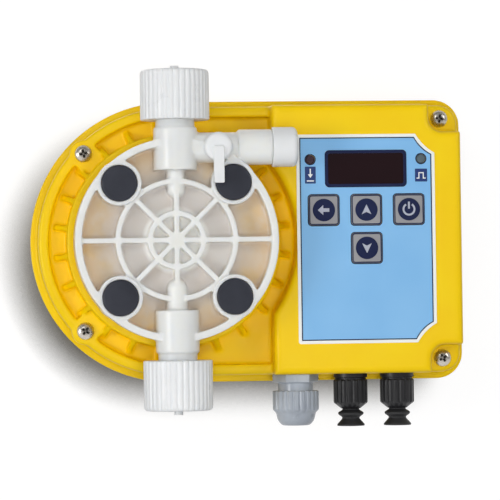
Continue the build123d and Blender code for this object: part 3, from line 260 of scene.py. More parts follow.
# ---------------------------------------------------------------- materials
class Shader:
    """A Principled material with the few node patterns that every finish here uses."""

    def __init__(self, name, colour, roughness):
        self.material = bpy.data.materials.new(name)
        self.material.use_nodes = True
        self.tree = self.material.node_tree
        self.surface = self.tree.nodes["Principled BSDF"]
        self.surface.inputs["Base Color"].default_value = colour
        self.surface.inputs["Roughness"].default_value = roughness
        self.place = self.tree.nodes.new("ShaderNodeTexCoord").outputs["Object"]
        self.colour = None
        self.height = None

    def set(self, **values):
        """Set sockets of the surface that are the same all over it."""
        for name, value in values.items():
            self.surface.inputs[name.replace("_", " ")].default_value = value
        return self

    def link(self, source, target):
        self.tree.links.new(source, target)

    def noise(self, size, detail=3.0, stretch=None):
        """Noise whose features are about size millimetres across."""
        node = self.tree.nodes.new("ShaderNodeTexNoise")
        node.inputs["Scale"].default_value = 1 / (size * MM)
        node.inputs["Detail"].default_value = detail
        source = self.place
        if stretch:
            scale = self.tree.nodes.new("ShaderNodeMapping")
            scale.inputs["Scale"].default_value = stretch
            self.link(source, scale.inputs["Vector"])
            source = scale.outputs["Vector"]
        self.link(source, node.inputs["Vector"])
        return node.outputs["Fac"]

    def ramp(self, source, low_in, high_in, low_out=0.0, high_out=1.0):
        """Turn a source's range into another one, clamped at both ends."""
        node = self.tree.nodes.new("ShaderNodeMapRange")
        for name, value in (
            ("From Min", low_in),
            ("From Max", high_in),
            ("To Min", low_out),
            ("To Max", high_out),
        ):
            node.inputs[name].default_value = value
        self.link(source, node.inputs["Value"])
        return node.outputs["Result"]

    def maths(self, operation, first, second):
        """One sum of two values, each a socket or a number."""
        node = self.tree.nodes.new("ShaderNodeMath")
        node.operation = operation
        for socket, value in zip(node.inputs, (first, second)):
            if isinstance(value, (int, float)):
                socket.default_value = value
            else:
                self.link(value, socket)
        return node.outputs["Value"]

    def axis(self, letter):
        """One coordinate of the surface, in metres."""
        node = self.tree.nodes.new("ShaderNodeSeparateXYZ")
        self.link(self.place, node.inputs["Vector"])
        return node.outputs[letter]

    def from_axis(self):
        """Distance of the surface from the pump head's axis, in metres."""
        flat = self.tree.nodes.new("ShaderNodeVectorMath")
        flat.operation = "MULTIPLY"
        flat.inputs[1].default_value = (1.0, 0.0, 1.0)
        self.link(self.place, flat.inputs[0])
        reach = self.tree.nodes.new("ShaderNodeVectorMath")
        reach.operation = "LENGTH"
        self.link(flat.outputs["Vector"], reach.inputs[0])
        return reach.outputs["Value"]

    def tint(self, colour, amount):
        """Mix another colour into the base by an amount socket."""
        node = self.tree.nodes.new("ShaderNodeMix")
        node.data_type = "RGBA"
        node.inputs["B"].default_value = colour
        if self.colour is None:
            node.inputs["A"].default_value = self.surface.inputs["Base Color"].default_value
        else:
            self.link(self.colour, node.inputs["A"])
        self.link(amount, node.inputs["Factor"])
        self.colour = node.outputs["Result"]
        self.link(self.colour, self.surface.inputs["Base Color"])
        return self

    def roughness(self, source, smooth, rough):
        """Vary the roughness between two values with a noise."""
        self.link(self.ramp(source, 0.3, 0.7, smooth, rough), self.surface.inputs["Roughness"])
        return self

    def bump(self, source, depth, strength=1.0):
        """Raise the surface by a source from 0 to 1, to a depth in millimetres."""
        node = self.tree.nodes.new("ShaderNodeBump")
        node.inputs["Distance"].default_value = depth * MM
        node.inputs["Strength"].default_value = strength
        self.link(source, node.inputs["Height"])
        if self.height is not None:
            self.link(self.height, node.inputs["Normal"])
        self.height = node.outputs["Normal"]
        self.link(self.height, self.surface.inputs["Normal"])
        return self

    def edges(self, low_in=0.52, high_in=0.6):
        """How sharp an outer edge a point lies on, or an inner one with falling limits under 0.5."""
        node = self.tree.nodes.new("ShaderNodeNewGeometry")
        return self.ramp(node.outputs["Pointiness"], low_in, high_in)


def moulded(name, colour, paler, roughness, grain=0.35, grain_depth=0.012):
    """Injection-moulded plastic: fine grain, slow colour drift, and rubbed edges."""
    shader = Shader(name, colour, roughness)
    shader.tint(paler, shader.ramp(shader.noise(22.0), 0.35, 0.75, 0.0, 0.55))
    shader.tint(paler, shader.maths("MULTIPLY", shader.edges(), 0.25))
    shader.roughness(shader.noise(6.0, 5.0), roughness - 0.06, roughness + 0.08)
    shader.bump(shader.noise(grain, 4.0), grain_depth)
    shader.bump(shader.noise(9.0, 2.0), 0.05, 0.6)
    return shader


def metal(name, colour, roughness, scratch=(1.0, 1.0, 1.0)):
    """Machined or plated metal with fine tool marks, and painted shade in its hollows and inner corners."""
    shader = Shader(name, colour, roughness).set(Metallic=1.0)
    marks = shader.noise(0.6, 6.0, stretch=scratch)
    shader.roughness(marks, roughness - 0.08, roughness + 0.12)
    shader.bump(marks, 0.008)
    shader.tint((0.25, 0.24, 0.22, 1.0), shader.ramp(shader.noise(3.0, 4.0), 0.6, 0.9, 0.0, 0.35))
    # painted shade: near black in hollows and inner corners, such as a screw's cross recess
    shader.tint((0.02, 0.018, 0.015, 1.0), shader.edges(0.49, 0.42))
    return shader


def yellow_plastic():
    """The casing's warm yellow, with slightly deeper patches."""
    shader = moulded("yellow_plastic", srgb(247, 206, 2), srgb(251, 217, 8), 0.36)
    shader.tint(srgb(243, 188, 0), shader.ramp(shader.noise(38.0, 2.0), 0.45, 0.7, 0.0, 0.25))
    return shader.set(Specular_IOR_Level=0.2, Coat_Weight=0.05, Coat_Roughness=0.25).material


def head_plastic(floor_depth):
    """Translucent head with milky ribs; on the pockets' floor, painted shade darkens it to beige, painted
    light brightens it inside the hub ring, and painted yellow light stands for the casing seen through the
    thin floor.
    """
    shader = Shader("head_plastic", srgb(230, 231, 228), 0.34)
    depth = shader.maths("MULTIPLY", shader.axis("Y"), -1.0)
    floor = shader.ramp(depth, (floor_depth + HEAD_FLOOR_FADE) * MM, floor_depth * MM)
    cloud = shader.noise(13.0, 3.0)
    painted_floor_shade = shader.maths("MULTIPLY", floor, shader.ramp(cloud, 0.3, 0.7, 0.65, 1.0))
    far = shader.from_axis()
    # the zones inside the hub ring and outside the middle one end softly
    outside = shader.ramp(far, (MID_RING_R - 3.0) * MM, (MID_RING_R + 11.0) * MM)
    outer = shader.maths("MULTIPLY", floor, outside)
    inside = shader.ramp(far, (HUB_RING_R + 1.0) * MM, (HUB_RING_R - 1.0) * MM)
    inner = shader.maths("MULTIPLY", floor, inside)
    # painted shade: the pockets' floor darkened towards beige, in clouds
    shader.tint(srgb(212, 204, 197), painted_floor_shade)
    # painted light: the floor inside the hub ring brightened where the ribs shade it
    shader.tint(srgb(247, 247, 243), inner)
    # painted shade and painted yellow light on the floor outside the middle ring
    shader.tint(srgb(224, 202, 168), shader.maths("MULTIPLY", outer, 0.9))
    # painted yellow light in patches, as if the casing shone through the floor
    painted_yellow_light = shader.maths("MULTIPLY", outer, shader.ramp(shader.noise(15.0, 3.0), 0.5, 0.72, 0.0, 0.6))
    shader.tint(srgb(230, 196, 104), painted_yellow_light)
    haze = shader.maths("MULTIPLY", floor, shader.ramp(shader.noise(9.0, 3.0), 0.5, 0.75, 0.0, 0.45))
    shader.tint(srgb(222, 219, 218), haze)
    shader.tint(srgb(232, 231, 228), shader.maths("MULTIPLY", shader.edges(0.49, 0.43), 0.6))
    shader.tint(srgb(242, 243, 242), shader.maths("MULTIPLY", shader.edges(), 0.5))
    shader.roughness(shader.noise(5.0, 5.0), 0.28, 0.42)
    shader.bump(shader.noise(0.5, 4.0), 0.01)
    shader.bump(shader.noise(8.0, 2.0), 0.06, 0.6)
    shader.set(Subsurface_Weight=0.7, Subsurface_Radius=(1.0, 0.92, 0.78), Subsurface_Scale=0.006)
    return shader.material


def fitting_plastic():
    """The nuts' and bleed valve's white, denser than the head."""
    shader = moulded("fitting_plastic", srgb(226, 228, 229), srgb(240, 241, 242), 0.32, 0.6, 0.008)
    shader.set(Subsurface_Weight=0.2, Subsurface_Radius=(1.0, 0.9, 0.8), Subsurface_Scale=0.0015)
    return shader.material


def glass(name, colour):
    """Clear smooth plastic over a dark ground."""
    shader = Shader(name, colour, 0.08).set(Coat_Weight=0.1, Coat_Roughness=0.04, Specular_IOR_Level=0.35)
    shader.roughness(shader.noise(8.0, 6.0), 0.06, 0.14)
    shader.bump(shader.noise(30.0, 1.0), 0.02, 0.4)
    return shader


def lamp_lenses(split_x):
    """The left lamp is red and the right one green, both unlit."""
    shader = glass("lamp_lenses", srgb(66, 50, 58))
    right = shader.ramp(shader.axis("X"), (split_x - 1.0) * MM, (split_x + 1.0) * MM)
    shader.tint(srgb(88, 102, 108), right)
    return shader.material


def film(name, colour, paler):
    """Printed keypad film: a very fine matt texture."""
    shader = Shader(name, colour, 0.3)
    shader.tint(paler, shader.ramp(shader.noise(35.0, 2.0), 0.3, 0.7, 0.0, 0.5))
    shader.roughness(shader.noise(14.0, 2.0), 0.28, 0.35)
    shader.bump(shader.noise(0.5, 2.0), 0.003)
    shader.set(Specular_IOR_Level=0.3)
    return shader.material


def finishes():
    """Material of each slot of the record."""
    black = moulded("plug_plastic", srgb(24, 24, 26), srgb(42, 42, 45), 0.4, 0.4, 0.02)
    slate = moulded("slate_plastic", srgb(38, 40, 49), srgb(60, 63, 73), 0.42, 0.4, 0.02)
    rubber = moulded("black_rubber", srgb(24, 24, 25), srgb(48, 48, 50), 0.62, 0.5, 0.02)
    return {
        "yellow_casing": yellow_plastic(),
        "white_head": head_plastic(HEAD_FLOOR),
        "white_fitting": fitting_plastic(),
        "dark_cap": slate.set(Specular_IOR_Level=0.3).material,
        "zinc_screw": metal("zinc_screw", srgb(196, 190, 180), 0.26).material,
        "stainless": metal("stainless", srgb(190, 190, 192), 0.28).material,
        "brass_insert": metal("brass_insert", srgb(205, 168, 96), 0.32).material,
        "grey_gland": moulded("gland_plastic", srgb(153, 160, 170), srgb(208, 216, 224), 0.22).material,
        "black_plug": black.set(Specular_IOR_Level=0.35).material,
        "black_rubber": rubber.material,
        "keypad_film": film("keypad_film", srgb(238, 240, 236), srgb(246, 247, 244)),
        "key_plastic": film("key_film", srgb(142, 142, 145), srgb(160, 159, 160)),
        "window_red": glass("window_red", srgb(24, 2, 8)).material,
        "lamp": lamp_lenses(middle("status_leds")[0]),
        "display_black": moulded("display_black", srgb(20, 18, 20), srgb(34, 30, 32), 0.4).material,
        "circuit_board": moulded("circuit_board", srgb(22, 84, 52), srgb(40, 110, 70), 0.4).material,
        "switch_plastic": moulded("switch_plastic", srgb(40, 40, 42), srgb(70, 70, 72), 0.5).material,
        "magnet_steel": metal("magnet_steel", srgb(168, 168, 170), 0.36, (1.0, 8.0, 1.0)).material,
        "bobbin_nylon": moulded("bobbin_nylon", srgb(222, 214, 190), srgb(238, 232, 214), 0.45).material,
        "copper_wire": metal("copper_wire", srgb(190, 104, 60), 0.34, (1.0, 14.0, 1.0)).material,
        "bush_bronze": metal("bush_bronze", srgb(176, 128, 78), 0.4).material,
        "spring_steel": metal("spring_steel", srgb(176, 178, 182), 0.26).material,
        "disc_aluminium": metal("disc_aluminium", srgb(204, 206, 208), 0.3).material,
        "diaphragm_rubber": rubber.material,
        "valve_ball": moulded("valve_ball", srgb(236, 234, 226), srgb(246, 245, 240), 0.2).material,
        "seal_rubber": rubber.material,
    }


def slot_of_nodes():
    """Slot name of every CAD node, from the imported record."""
    return {row["node"]: row["material_slot"] for row in frame["record"]["subparts"]}


# ---------------------------------------------------------------- finer pieces that stand for CAD nodes
def moulded_copy(node, voxel, rounds, keep):
    """The node's own form with the small edge radii of a moulded part, as one even skin."""
    piece = link(bpy.data.objects.new(f"{node}_moulded", frame["nodes"][node].data.copy()))
    remesh = piece.modifiers.new("skin", "REMESH")
    remesh.mode = "VOXEL"
    remesh.voxel_size = voxel * MM
    relax = piece.modifiers.new("relax", "SMOOTH")
    relax.factor = 0.5
    relax.iterations = rounds
    thin = piece.modifiers.new("thin", "DECIMATE")
    thin.ratio = keep
    piece.data = shown_mesh(piece)
    piece.modifiers.clear()
    shade_smooth(piece.data)
    piece.data.materials.clear()
    piece.data.materials.append(MATERIALS[SLOTS[node]])
    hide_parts(node)
    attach(piece, body_of(node))


# ---------------------------------------------------------------- outlines in the part's X-Z plane
def arc(centre, radius, start, end, steps):
    """Points along an arc, in degrees from the X axis."""
    turns = [radians(start + (end - start) * i / steps) for i in range(steps + 1)]
    return [(centre[0] + radius * cos(a), centre[1] + radius * sin(a)) for a in turns]


def circle(centre, radius, steps=48):
    """Points round a circle, the first not repeated."""
    return arc(centre, radius, 0, 360, steps)[:-1]


def rounded_box(centre, width, height, radius, steps=6):
    """Rectangle with rounded corners, anticlockwise from the lower right."""
    x, z = width / 2 - radius, height / 2 - radius
    points = []
    for start, side_x, side_z in ((270, 1, -1), (0, 1, 1), (90, -1, 1), (180, -1, -1)):
        corner = (centre[0] + side_x * x, centre[1] + side_z * z)
        points += arc(corner, radius, start, start + 90, steps)
    return points


def moved(points, centre):
    """The same points round another centre."""
    return [(x + centre[0], z + centre[1]) for x, z in points]


def panel_outline(inset):
    """The keypad's outline: square on the left, with hollow cut corners on the right."""
    left, right = PANEL_LEFT + inset, PANEL_RIGHT - inset
    top = PANEL_TOP - inset
    cut = PANEL_CUT - inset * (2 - 2 ** 0.5)
    steps = 8
    bow = []
    for i in range(steps + 1):
        t = i / steps
        sink = PANEL_CUT_BOW * 4 * t * (1 - t) / 2 ** 0.5
        bow.append((right - cut * t - sink, top - cut * (1 - t) - sink))
    return [(left, -top)] + [(x, -z) for x, z in reversed(bow)] + bow + [(left, top)]


# ---------------------------------------------------------------- pieces made from outlines
def finish_piece(piece, material, body):
    """Give a new piece its finish, and the body that it rides on."""
    link(piece)
    piece.data.materials.append(material)
    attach(piece, body)
    return piece


def stand_for(piece, node):
    """Let a new piece replace a CAD node, with the node's finish and body."""
    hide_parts(node)
    return finish_piece(piece, MATERIALS[SLOTS[node]], body_of(node))


def plate(name, loops, back, front, material, body):
    """Flat piece between two depths; the first loop is its outline and the rest are its holes."""
    curve = bpy.data.curves.new(name, "CURVE")
    curve.dimensions = "2D"
    curve.fill_mode = "BOTH"
    curve.extrude = (front - back) / 2 * MM
    for loop in loops:
        spline = curve.splines.new("POLY")
        spline.points.add(len(loop) - 1)
        for point, (x, z) in zip(spline.points, loop):
            point.co = (x * MM, z * MM, 0, 1)
        spline.use_cyclic_u = True
    drawn = link(bpy.data.objects.new(f"{name}_outline", curve))
    mesh = shown_mesh(drawn)
    bpy.data.objects.remove(drawn)
    stand = Matrix.Translation((0, -(front + back) / 2 * MM, 0)) @ Matrix.Rotation(pi / 2, 4, "X")
    mesh.transform(stand)
    mesh.materials.clear()
    return finish_piece(bpy.data.objects.new(name, mesh), material, body)


def bridge(made, rings):
    """Faces between neighbouring closed rings of as many points."""
    for lower, upper in zip(rings, rings[1:]):
        for i in range(len(lower)):
            j = (i + 1) % len(lower)
            made.faces.new((lower[i], lower[j], upper[j], upper[i]))


def mesh_from(made, name):
    """Mesh of what has been built, with its normals outwards."""
    bmesh.ops.recalc_face_normals(made, faces=made.faces)
    mesh = bpy.data.meshes.new(name)
    made.to_mesh(mesh)
    made.free()
    return mesh


def lofted(name, layers, material, body):
    """Closed piece through equal loops in the X-Z plane; layers are (points, depth) from back to front."""
    made = bmesh.new()
    rings = []
    for points, depth in layers:
        rings.append([made.verts.new((x * MM, -depth * MM, z * MM)) for x, z in points])
    bridge(made, rings)
    made.faces.new(list(reversed(rings[0])))
    made.faces.new(rings[-1])
    mesh = mesh_from(made, name)
    shade_smooth(mesh)
    return finish_piece(bpy.data.objects.new(name, mesh), material, body)


def eased(corners, steps=4):
    """Closed section with each (radius, height, ease) corner rounded by its ease."""
    points = []
    for before, corner, after in zip(corners[-1:] + corners[:-1], corners, corners[1:] + corners[:1]):
        tip = Vector(corner[:2])
        back, ahead = Vector(before[:2]) - tip, Vector(after[:2]) - tip
        start = tip + back.normalized() * min(corner[2], back.length * 0.48)
        end = tip + ahead.normalized() * min(corner[2], ahead.length * 0.48)
        for i in range(steps + 1):
            t = i / steps
            points.append(start * (1 - t) ** 2 + tip * 2 * t * (1 - t) + end * t ** 2)
    return points


def lathe(node, origin, along, corners, flutes=0, flute_cut=0.0, fade=1.0, steps=96):
    """Turned piece for a node: a closed section of (radius, height, ease) about an axis, fluted outside.

    The flutes fade out where the surface falls a fade short of the largest radius.
    """
    along = Vector(along)
    side = along.orthogonal().normalized()
    other = along.cross(side)
    largest = max(radius for radius, _, _ in corners)
    steps = flutes * 8 or steps
    made = bmesh.new()
    rings = []
    for radius, height in eased(corners):
        share = max(0.0, 1 - (largest - radius) / fade)
        ring = []
        for i in range(steps):
            turn = 2 * pi * i / steps
            reach = radius - flute_cut * share * max(0.0, cos(flutes * turn)) ** 0.7
            place = origin + along * height + (side * cos(turn) + other * sin(turn)) * reach
            ring.append(made.verts.new(place * MM))
        rings.append(ring)
    bridge(made, rings + rings[:1])
    bmesh.ops.remove_doubles(made, verts=made.verts, dist=MERGE * MM)
    loose = [edge for edge in made.edges if not edge.link_faces]
    bmesh.ops.delete(made, geom=loose, context="EDGES")
    mesh = mesh_from(made, node)
    shade_smooth(mesh)
    return stand_for(bpy.data.objects.new(f"{node}_turned", mesh), node)


def cut(piece, tool):
    """Take a tool's form out of a piece, and the tool away."""
    bite = piece.modifiers.new("cut", "BOOLEAN")
    bite.object = tool
    bite.solver = "EXACT"
    bite.use_self = True
    piece.data = shown_mesh(piece)
    piece.modifiers.clear()
    bpy.data.objects.remove(tool)
    piece.data.set_sharp_from_angle(angle=SHARP)


# ---------------------------------------------------------------- turned fittings
def end_of(node, letter, side):
    """Centre of a node's end face along one axis, in millimetres; side is 0 for low and 1 for high."""
    low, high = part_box(node)
    index = "xyz".index(letter)
    place = (low + high) / 2
    place[index] = (low, high)[side][index]
    return place / MM


def size_of(node, letter):
    """Size of a node along one axis, in millimetres."""
    low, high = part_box(node)
    index = "xyz".index(letter)
    return (high - low)[index] / MM


def union_nut(node, up):
    """Fluted union nut on a valve's upright axis; up is 1 for the top valve and -1 for the bottom one."""
    origin = end_of(node, "z", 0 if up == 1 else 1)
    outer, length = size_of(node, "x") / 2, size_of(node, "z")
    lathe(node, origin, (0, 0, up), [
        (NUT_BORE_R, 0, 0.5),
        (outer, 0, 0.6),
        (outer, length, NUT_EDGE),
        (outer - NUT_EDGE - NUT_RIM_W, length, 0.3),
        (outer - NUT_EDGE - NUT_RIM_W - 0.4, length - NUT_SINK, 0.3),
        (NUT_MOUTH_R + NUT_FUNNEL_W, length - NUT_SINK, 0.2),
        (NUT_MOUTH_R, length - NUT_SINK - NUT_FUNNEL_H, 0.3),
        (NUT_MOUTH_R, NUT_STEP, 0.1),
        (NUT_BORE_R, NUT_STEP, 0.1),
    ], NUT_FLUTE_COUNT, NUT_FLUTE_CUT, NUT_EDGE)


def dome_nut(node):
    """The cable gland's dome nut: flutes, a short shoulder, and a smooth bell down to its mouth.

    Heights are shares of its length.
    """
    origin = end_of(node, "z", 1)
    outer, length = size_of(node, "x") / 2, size_of(node, "z")
    lathe(node, origin, (0, 0, -1), [
        (DOME_BORE_R, 0, 0.3),
        (outer, 0, 0.5),
        (outer, length * 0.54, 0.6),
        (outer - 1.5, length * 0.64, 0.8),
        (outer - 2.3, length * 0.86, 1.6),
        (outer - 4.4, length, 1.2),
        (DOME_MOUTH_R, length, 0.4),
        (DOME_MOUTH_R, length * 0.66, 0.2),
        (DOME_BORE_R, length * 0.58, 0.2),
    ], DOME_FLUTE_COUNT, DOME_FLUTE_CUT, DOME_FLUTE_FADE)


def plug(node, boot):
    """Signal plug with its gripped barrel and its bellows strain relief, hanging below a socket.

    The strain relief's heights are shares of its length.
    """
    origin = end_of(node, "z", 1)
    outer, length = size_of(node, "x") / 2, size_of(node, "z")
    lathe(node, origin, (0, 0, -1), [
        (PLUG_BORE_R, 0, 0.3),
        (outer - PLUG_COLLAR_IN, 0, 0.3),
        (outer - PLUG_COLLAR_IN, 1.0, 0.2),
        (outer, 1.4, 0.4),
        (outer, length - PLUG_TAPER_H, 0.6),
        (PLUG_NECK_R + 0.4, length, 0.3),
        (BOOT_SPIGOT_R, length, 0.1),
        (BOOT_SPIGOT_R, PLUG_BORE_LEN + 1.0, 0.2),
        (PLUG_BORE_R, PLUG_BORE_LEN, 0.2),
    ], PLUG_GRIP_COUNT, PLUG_GRIP_CUT, PLUG_GRIP_FADE)
    origin = end_of(boot, "z", 1)
    outer, length = size_of(boot, "x") / 2, size_of(boot, "z")
    lathe(boot, origin, (0, 0, -1), [
        (BOOT_BORE_R, 0, 0.1),
        (BOOT_SPIGOT_R, 0, 0.1),
        (BOOT_SPIGOT_R, length * 0.26, 0.05),
        (PLUG_NECK_R, length * 0.26, 0.3),
        (PLUG_NECK_R - 0.2, length * 0.3, 0.4),
        (outer - 0.4, length * 0.43, 0.5),
        (outer - 0.5, length * 0.51, 0.6),
        (PLUG_NECK_R, length * 0.63, 0.7),
        (PLUG_NECK_R + 0.1, length * 0.7, 0.6),
        (outer, length * 0.93, 0.5),
        (outer, length, 0.3),
        (BOOT_BORE_R, length, 0.3),
    ])


def pan_head_screws(node):
    """The casing's pan head screws, each with a tapered cross recess at its own turn."""
    front = high_depth(node)
    low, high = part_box(node)
    left, right = low.x / MM + SCREW_HEAD_R, high.x / MM - SCREW_HEAD_R
    top = high.z / MM - SCREW_HEAD_R
    # the left-hand screws lie at 45 degrees round the pump head's axis
    places = ((left, -left), (left, left), (right, top), (right, -top))
    for number, ((x, z), turn) in enumerate(zip(places, SCREW_TURNS)):
        seat = Vector((x, -(front - SCREW_HEAD_H), z))
        piece = lathe(node, seat, (0, -1, 0), [
            (0, SCREW_HEAD_H, 0),
            (SCREW_HEAD_R * 0.5, SCREW_HEAD_H - 0.12, 0.5),
            (SCREW_HEAD_R * 0.88, SCREW_HEAD_H - 0.8, 1.0),
            (SCREW_HEAD_R, SCREW_HEAD_H - 1.9, 0.5),
            (SCREW_HEAD_R, 0, 0.2),
            (SCREW_R, 0, 0.1),
            (SCREW_R, SCREW_R - SCREW_LEN, 0.2),
            (SCREW_R * 0.6, -SCREW_LEN, 0.1),
            (0, -SCREW_LEN, 0),
        ], steps=48)
        piece.name = f"{node}_{number}"
        cut(piece, cross_recess((x, z), front, turn))


def cross_recess(centre, front, turn):
    """Cutter for a cross recess: a plus sign that narrows with depth."""
    made = bmesh.new()
    ends = (
        (front + CROSS_OVER, CROSS_L / 2, CROSS_W / 2),
        (front - CROSS_DEPTH, CROSS_BOTTOM_L / 2, CROSS_BOTTOM_W / 2),
    )
    for across in (0, 90):
        spin = Matrix.Rotation(radians(across + turn), 2)
        rings = []
        for depth, x, z in ends:
            ring = []
            for corner in ((-x, -z), (x, -z), (x, z), (-x, z)):
                place = Vector(centre) + spin @ Vector(corner)
                ring.append(made.verts.new(Vector((place.x, -depth, place.y)) * MM))
            rings.append(ring)
        bridge(made, rings)
        made.faces.new(rings[0])
        made.faces.new(rings[1])
    return link(bpy.data.objects.new("cross", mesh_from(made, "cross")))


def shortening_spring(node):
    """The node's spring as a piece of its own, with the node's finish and body, standing for the node."""
    mesh = frame["nodes"][node].data.copy()
    mesh.materials.clear()
    shade_smooth(mesh)
    piece = stand_for(bpy.data.objects.new(f"{node}_coil", mesh), node)
    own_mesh(piece)


def divided(points, step):
    """The same path with more points, no more than a step apart."""
    path = [Vector(point) for point in points]
    fine = []
    for start, end in zip(path, path[1:]):
        count = ceil((end - start).length / step)
        fine += [start.lerp(end, i / count) for i in range(count)]
    return fine + path[-1:]


def turned_sector(name, section, centre, start, sweep, steps=6):
    """Mesh of one sector of a turned form; its section of (radius, depth) begins and ends on the axis."""
    made = bmesh.new()
    rings = []
    for i in range(steps + 1):
        turn = start + sweep * i / steps
        ring = []
        for radius, depth in section:
            place = Vector((centre[0] + radius * cos(turn), -depth, centre[1] + radius * sin(turn)))
            ring.append(made.verts.new(place * MM))
        rings.append(ring)
    for lower, upper in zip(rings, rings[1:]):
        for i in range(len(section) - 1):
            made.faces.new((lower[i], lower[i + 1], upper[i + 1], upper[i]))
    made.faces.new(rings[0])
    made.faces.new(rings[-1])
    bmesh.ops.remove_doubles(made, verts=made.verts, dist=MERGE * MM)
    mesh = mesh_from(made, name)
    shade_smooth(mesh)
    mesh.set_sharp_from_angle(angle=SHARP)
    return mesh


def bending_diaphragm(node):
    """The node's diaphragm, held at its rim and pushed out in the middle by a disc on another body.

    It is built as sectors of one turned section, so neighbours agree where they meet.
    """
    centre = middle(node)
    back, front = -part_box(node)[1].y / MM, high_depth(node)
    rim, seat = size_of(node, "x") / 2, front - DIAPHRAGM_DOME_H
    web = seat - (seat - back) / 3
    section = divided([
        (0, back),
        (rim, back),
        (rim, seat),
        (DIAPHRAGM_FREE_R + 1, seat),
        (DIAPHRAGM_FREE_R - 1, web),
        (DIAPHRAGM_DOME_R + 2, web),
        (DIAPHRAGM_DOME_R, front),
        (0, front),
    ], DIAPHRAGM_STEP)
    sweep = 2 * pi / DIAPHRAGM_SECTORS
    for number in range(DIAPHRAGM_SECTORS):
        mesh = turned_sector(f"{node}_{number}", section, centre, number * sweep, sweep)
        mesh.materials.append(MATERIALS[SLOTS[node]])
        piece = link(bpy.data.objects.new(f"{node}_{number}", mesh))
        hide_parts(node)
        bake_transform(piece)


# ---------------------------------------------------------------- keypad print
def panel_holes(key_line=0.0, lamp_line=0.0):
    """Holes of a printed layer round the window, keys and lamps, wider by the lines that show there."""
    side = KEY_W + 2 * (KEY_GAP + key_line)
    holes = [rounded_box(WINDOW, WINDOW_W + 2 * WINDOW_GAP, WINDOW_H + 2 * WINDOW_GAP, WINDOW_R)]
    holes += [rounded_box(place, side, side, KEY_R + KEY_GAP + key_line) for place in KEYS.values()]
    holes += [circle(place, LAMP_R + LAMP_GAP + lamp_line) for place in LAMPS]
    return holes


def print_plate(name, loops, back, front, ink, body="casing"):
    """Flat piece of print."""
    plate(name, loops, back, front, ink, body)


def print_on_panel():
    """The blue field with its navy line, the frames round the window, keys and lamps, and the two icons."""
    paper = high_depth("keypad_overlay")
    first, second, third, fourth = (paper + PRINT_T * layer for layer in (1, 2, 3, 4))
    navy, white = INKS["navy"], MATERIALS["keypad_film"]
    print_plate("panel_line", [panel_outline(FIELD_INSET)] + panel_holes(), paper, first, navy)
    field = [panel_outline(FIELD_INSET + LINE_W)] + panel_holes(KEY_SURROUND_W, LAMP_RING_W)
    print_plate("panel_field", field, first, second, INKS["blue"])
    window_frame = [
        rounded_box(WINDOW, WINDOW_W + 2 * FRAME_OUT, WINDOW_H + 2 * FRAME_OUT, FRAME_OUT_R),
        rounded_box(WINDOW, WINDOW_W - 2 * FRAME_IN, WINDOW_H - 2 * FRAME_IN, FRAME_IN_R),
    ]
    print_plate("window_frame", window_frame, first, high_depth("display_window") + 2 * PRINT_T, navy)
    for side, centre in zip(("left", "right"), LAMPS):
        ring = [circle(centre, LAMP_R + LAMP_GAP + LAMP_RING_W), circle(centre, LAMP_R + LAMP_GAP)]
        print_plate(f"lamp_ring_{side}", ring, first, third, navy)
    for name, centre, width, height, marks in ICONS:
        ground = rounded_box(centre, width, height, ICON_R)
        print_plate(f"{name}_icon", [ground], second, third, INKS["icon"])
        for number, mark in enumerate(marks):
            print_plate(f"{name}_mark_{number}", [moved(mark, centre)], third, fourth, white)


def dress_key(name, centre, marks):
    """Pillowed film on a key, its navy line and disc, and its symbol."""
    base = high_depth(name)
    layers = []
    for inset, rise in KEY_PILLOW:
        side = KEY_W - 2 * inset
        layers.append((rounded_box(centre, side, side, max(KEY_R - inset, 0.3)), base + rise))
    lofted(f"{name}_film", layers, MATERIALS["key_plastic"], name)
    line = []
    for inset in (KEY_LINE_INSET, KEY_LINE_INSET + KEY_LINE_W):
        side = KEY_W - 2 * inset
        line.append(rounded_box(centre, side, side, KEY_R - inset))
    layers = [(f"{name}_line", line, KEY_LINE_RISE, INKS["navy"])]
    layers.append((f"{name}_disc", [circle(centre, KEY_DISC_R)], KEY_DISC_RISE, INKS["navy"]))
    for number, mark in enumerate(marks):
        layers.append((f"{name}_mark_{number}", [moved(mark, centre)], KEY_MARK_RISE, INKS["symbol"]))
    for title, loops, (low, high), ink in layers:
        print_plate(title, loops, base + low, base + high, ink, name)


# ---------------------------------------------------------------- camera, lights and stage
def make_camera():
    """The photograph's camera, as worked out from the casing's corners and screws."""
    data = bpy.data.cameras.new("camera")
    data.lens = CAMERA_LENS
    data.shift_x, data.shift_y = CAMERA_SHIFT
    data.clip_start = 0.05
    azimuth = radians(CAMERA_AZIMUTH)
    elevation = radians(CAMERA_ELEVATION)
    back = Vector((
        sin(azimuth) * cos(elevation),
        -cos(azimuth) * cos(elevation),
        sin(elevation),
    ))
    level = (-back).to_track_quat("-Z", "Y").to_matrix()
    camera = link(bpy.data.objects.new("camera", data))
    turn = (level @ Matrix.Rotation(radians(CAMERA_ROLL), 3, "Z")).to_4x4()
    place = Vector(CAMERA_TARGET) * MM + back * CAMERA_DISTANCE * MM
    camera.matrix_world = Matrix.Translation(place) @ turn
    bpy.context.scene.camera = camera


def make_lights():
    """Soft round lamps. The one at the camera isn't reflected: it would lay a sheen on every flat face."""
    for name, place, size, power in STUDIO_LAMPS:
        data = bpy.data.lights.new(name, "AREA")
        data.shape = "DISK"
        data.size = size
        data.energy = power
        lamp = link(bpy.data.objects.new(name, data))
        lamp.location = place
        lamp.rotation_euler = (Vector(STUDIO_AIM) - Vector(place)).to_track_quat("-Z", "Y").to_euler()
        lamp.visible_glossy = name != "front"


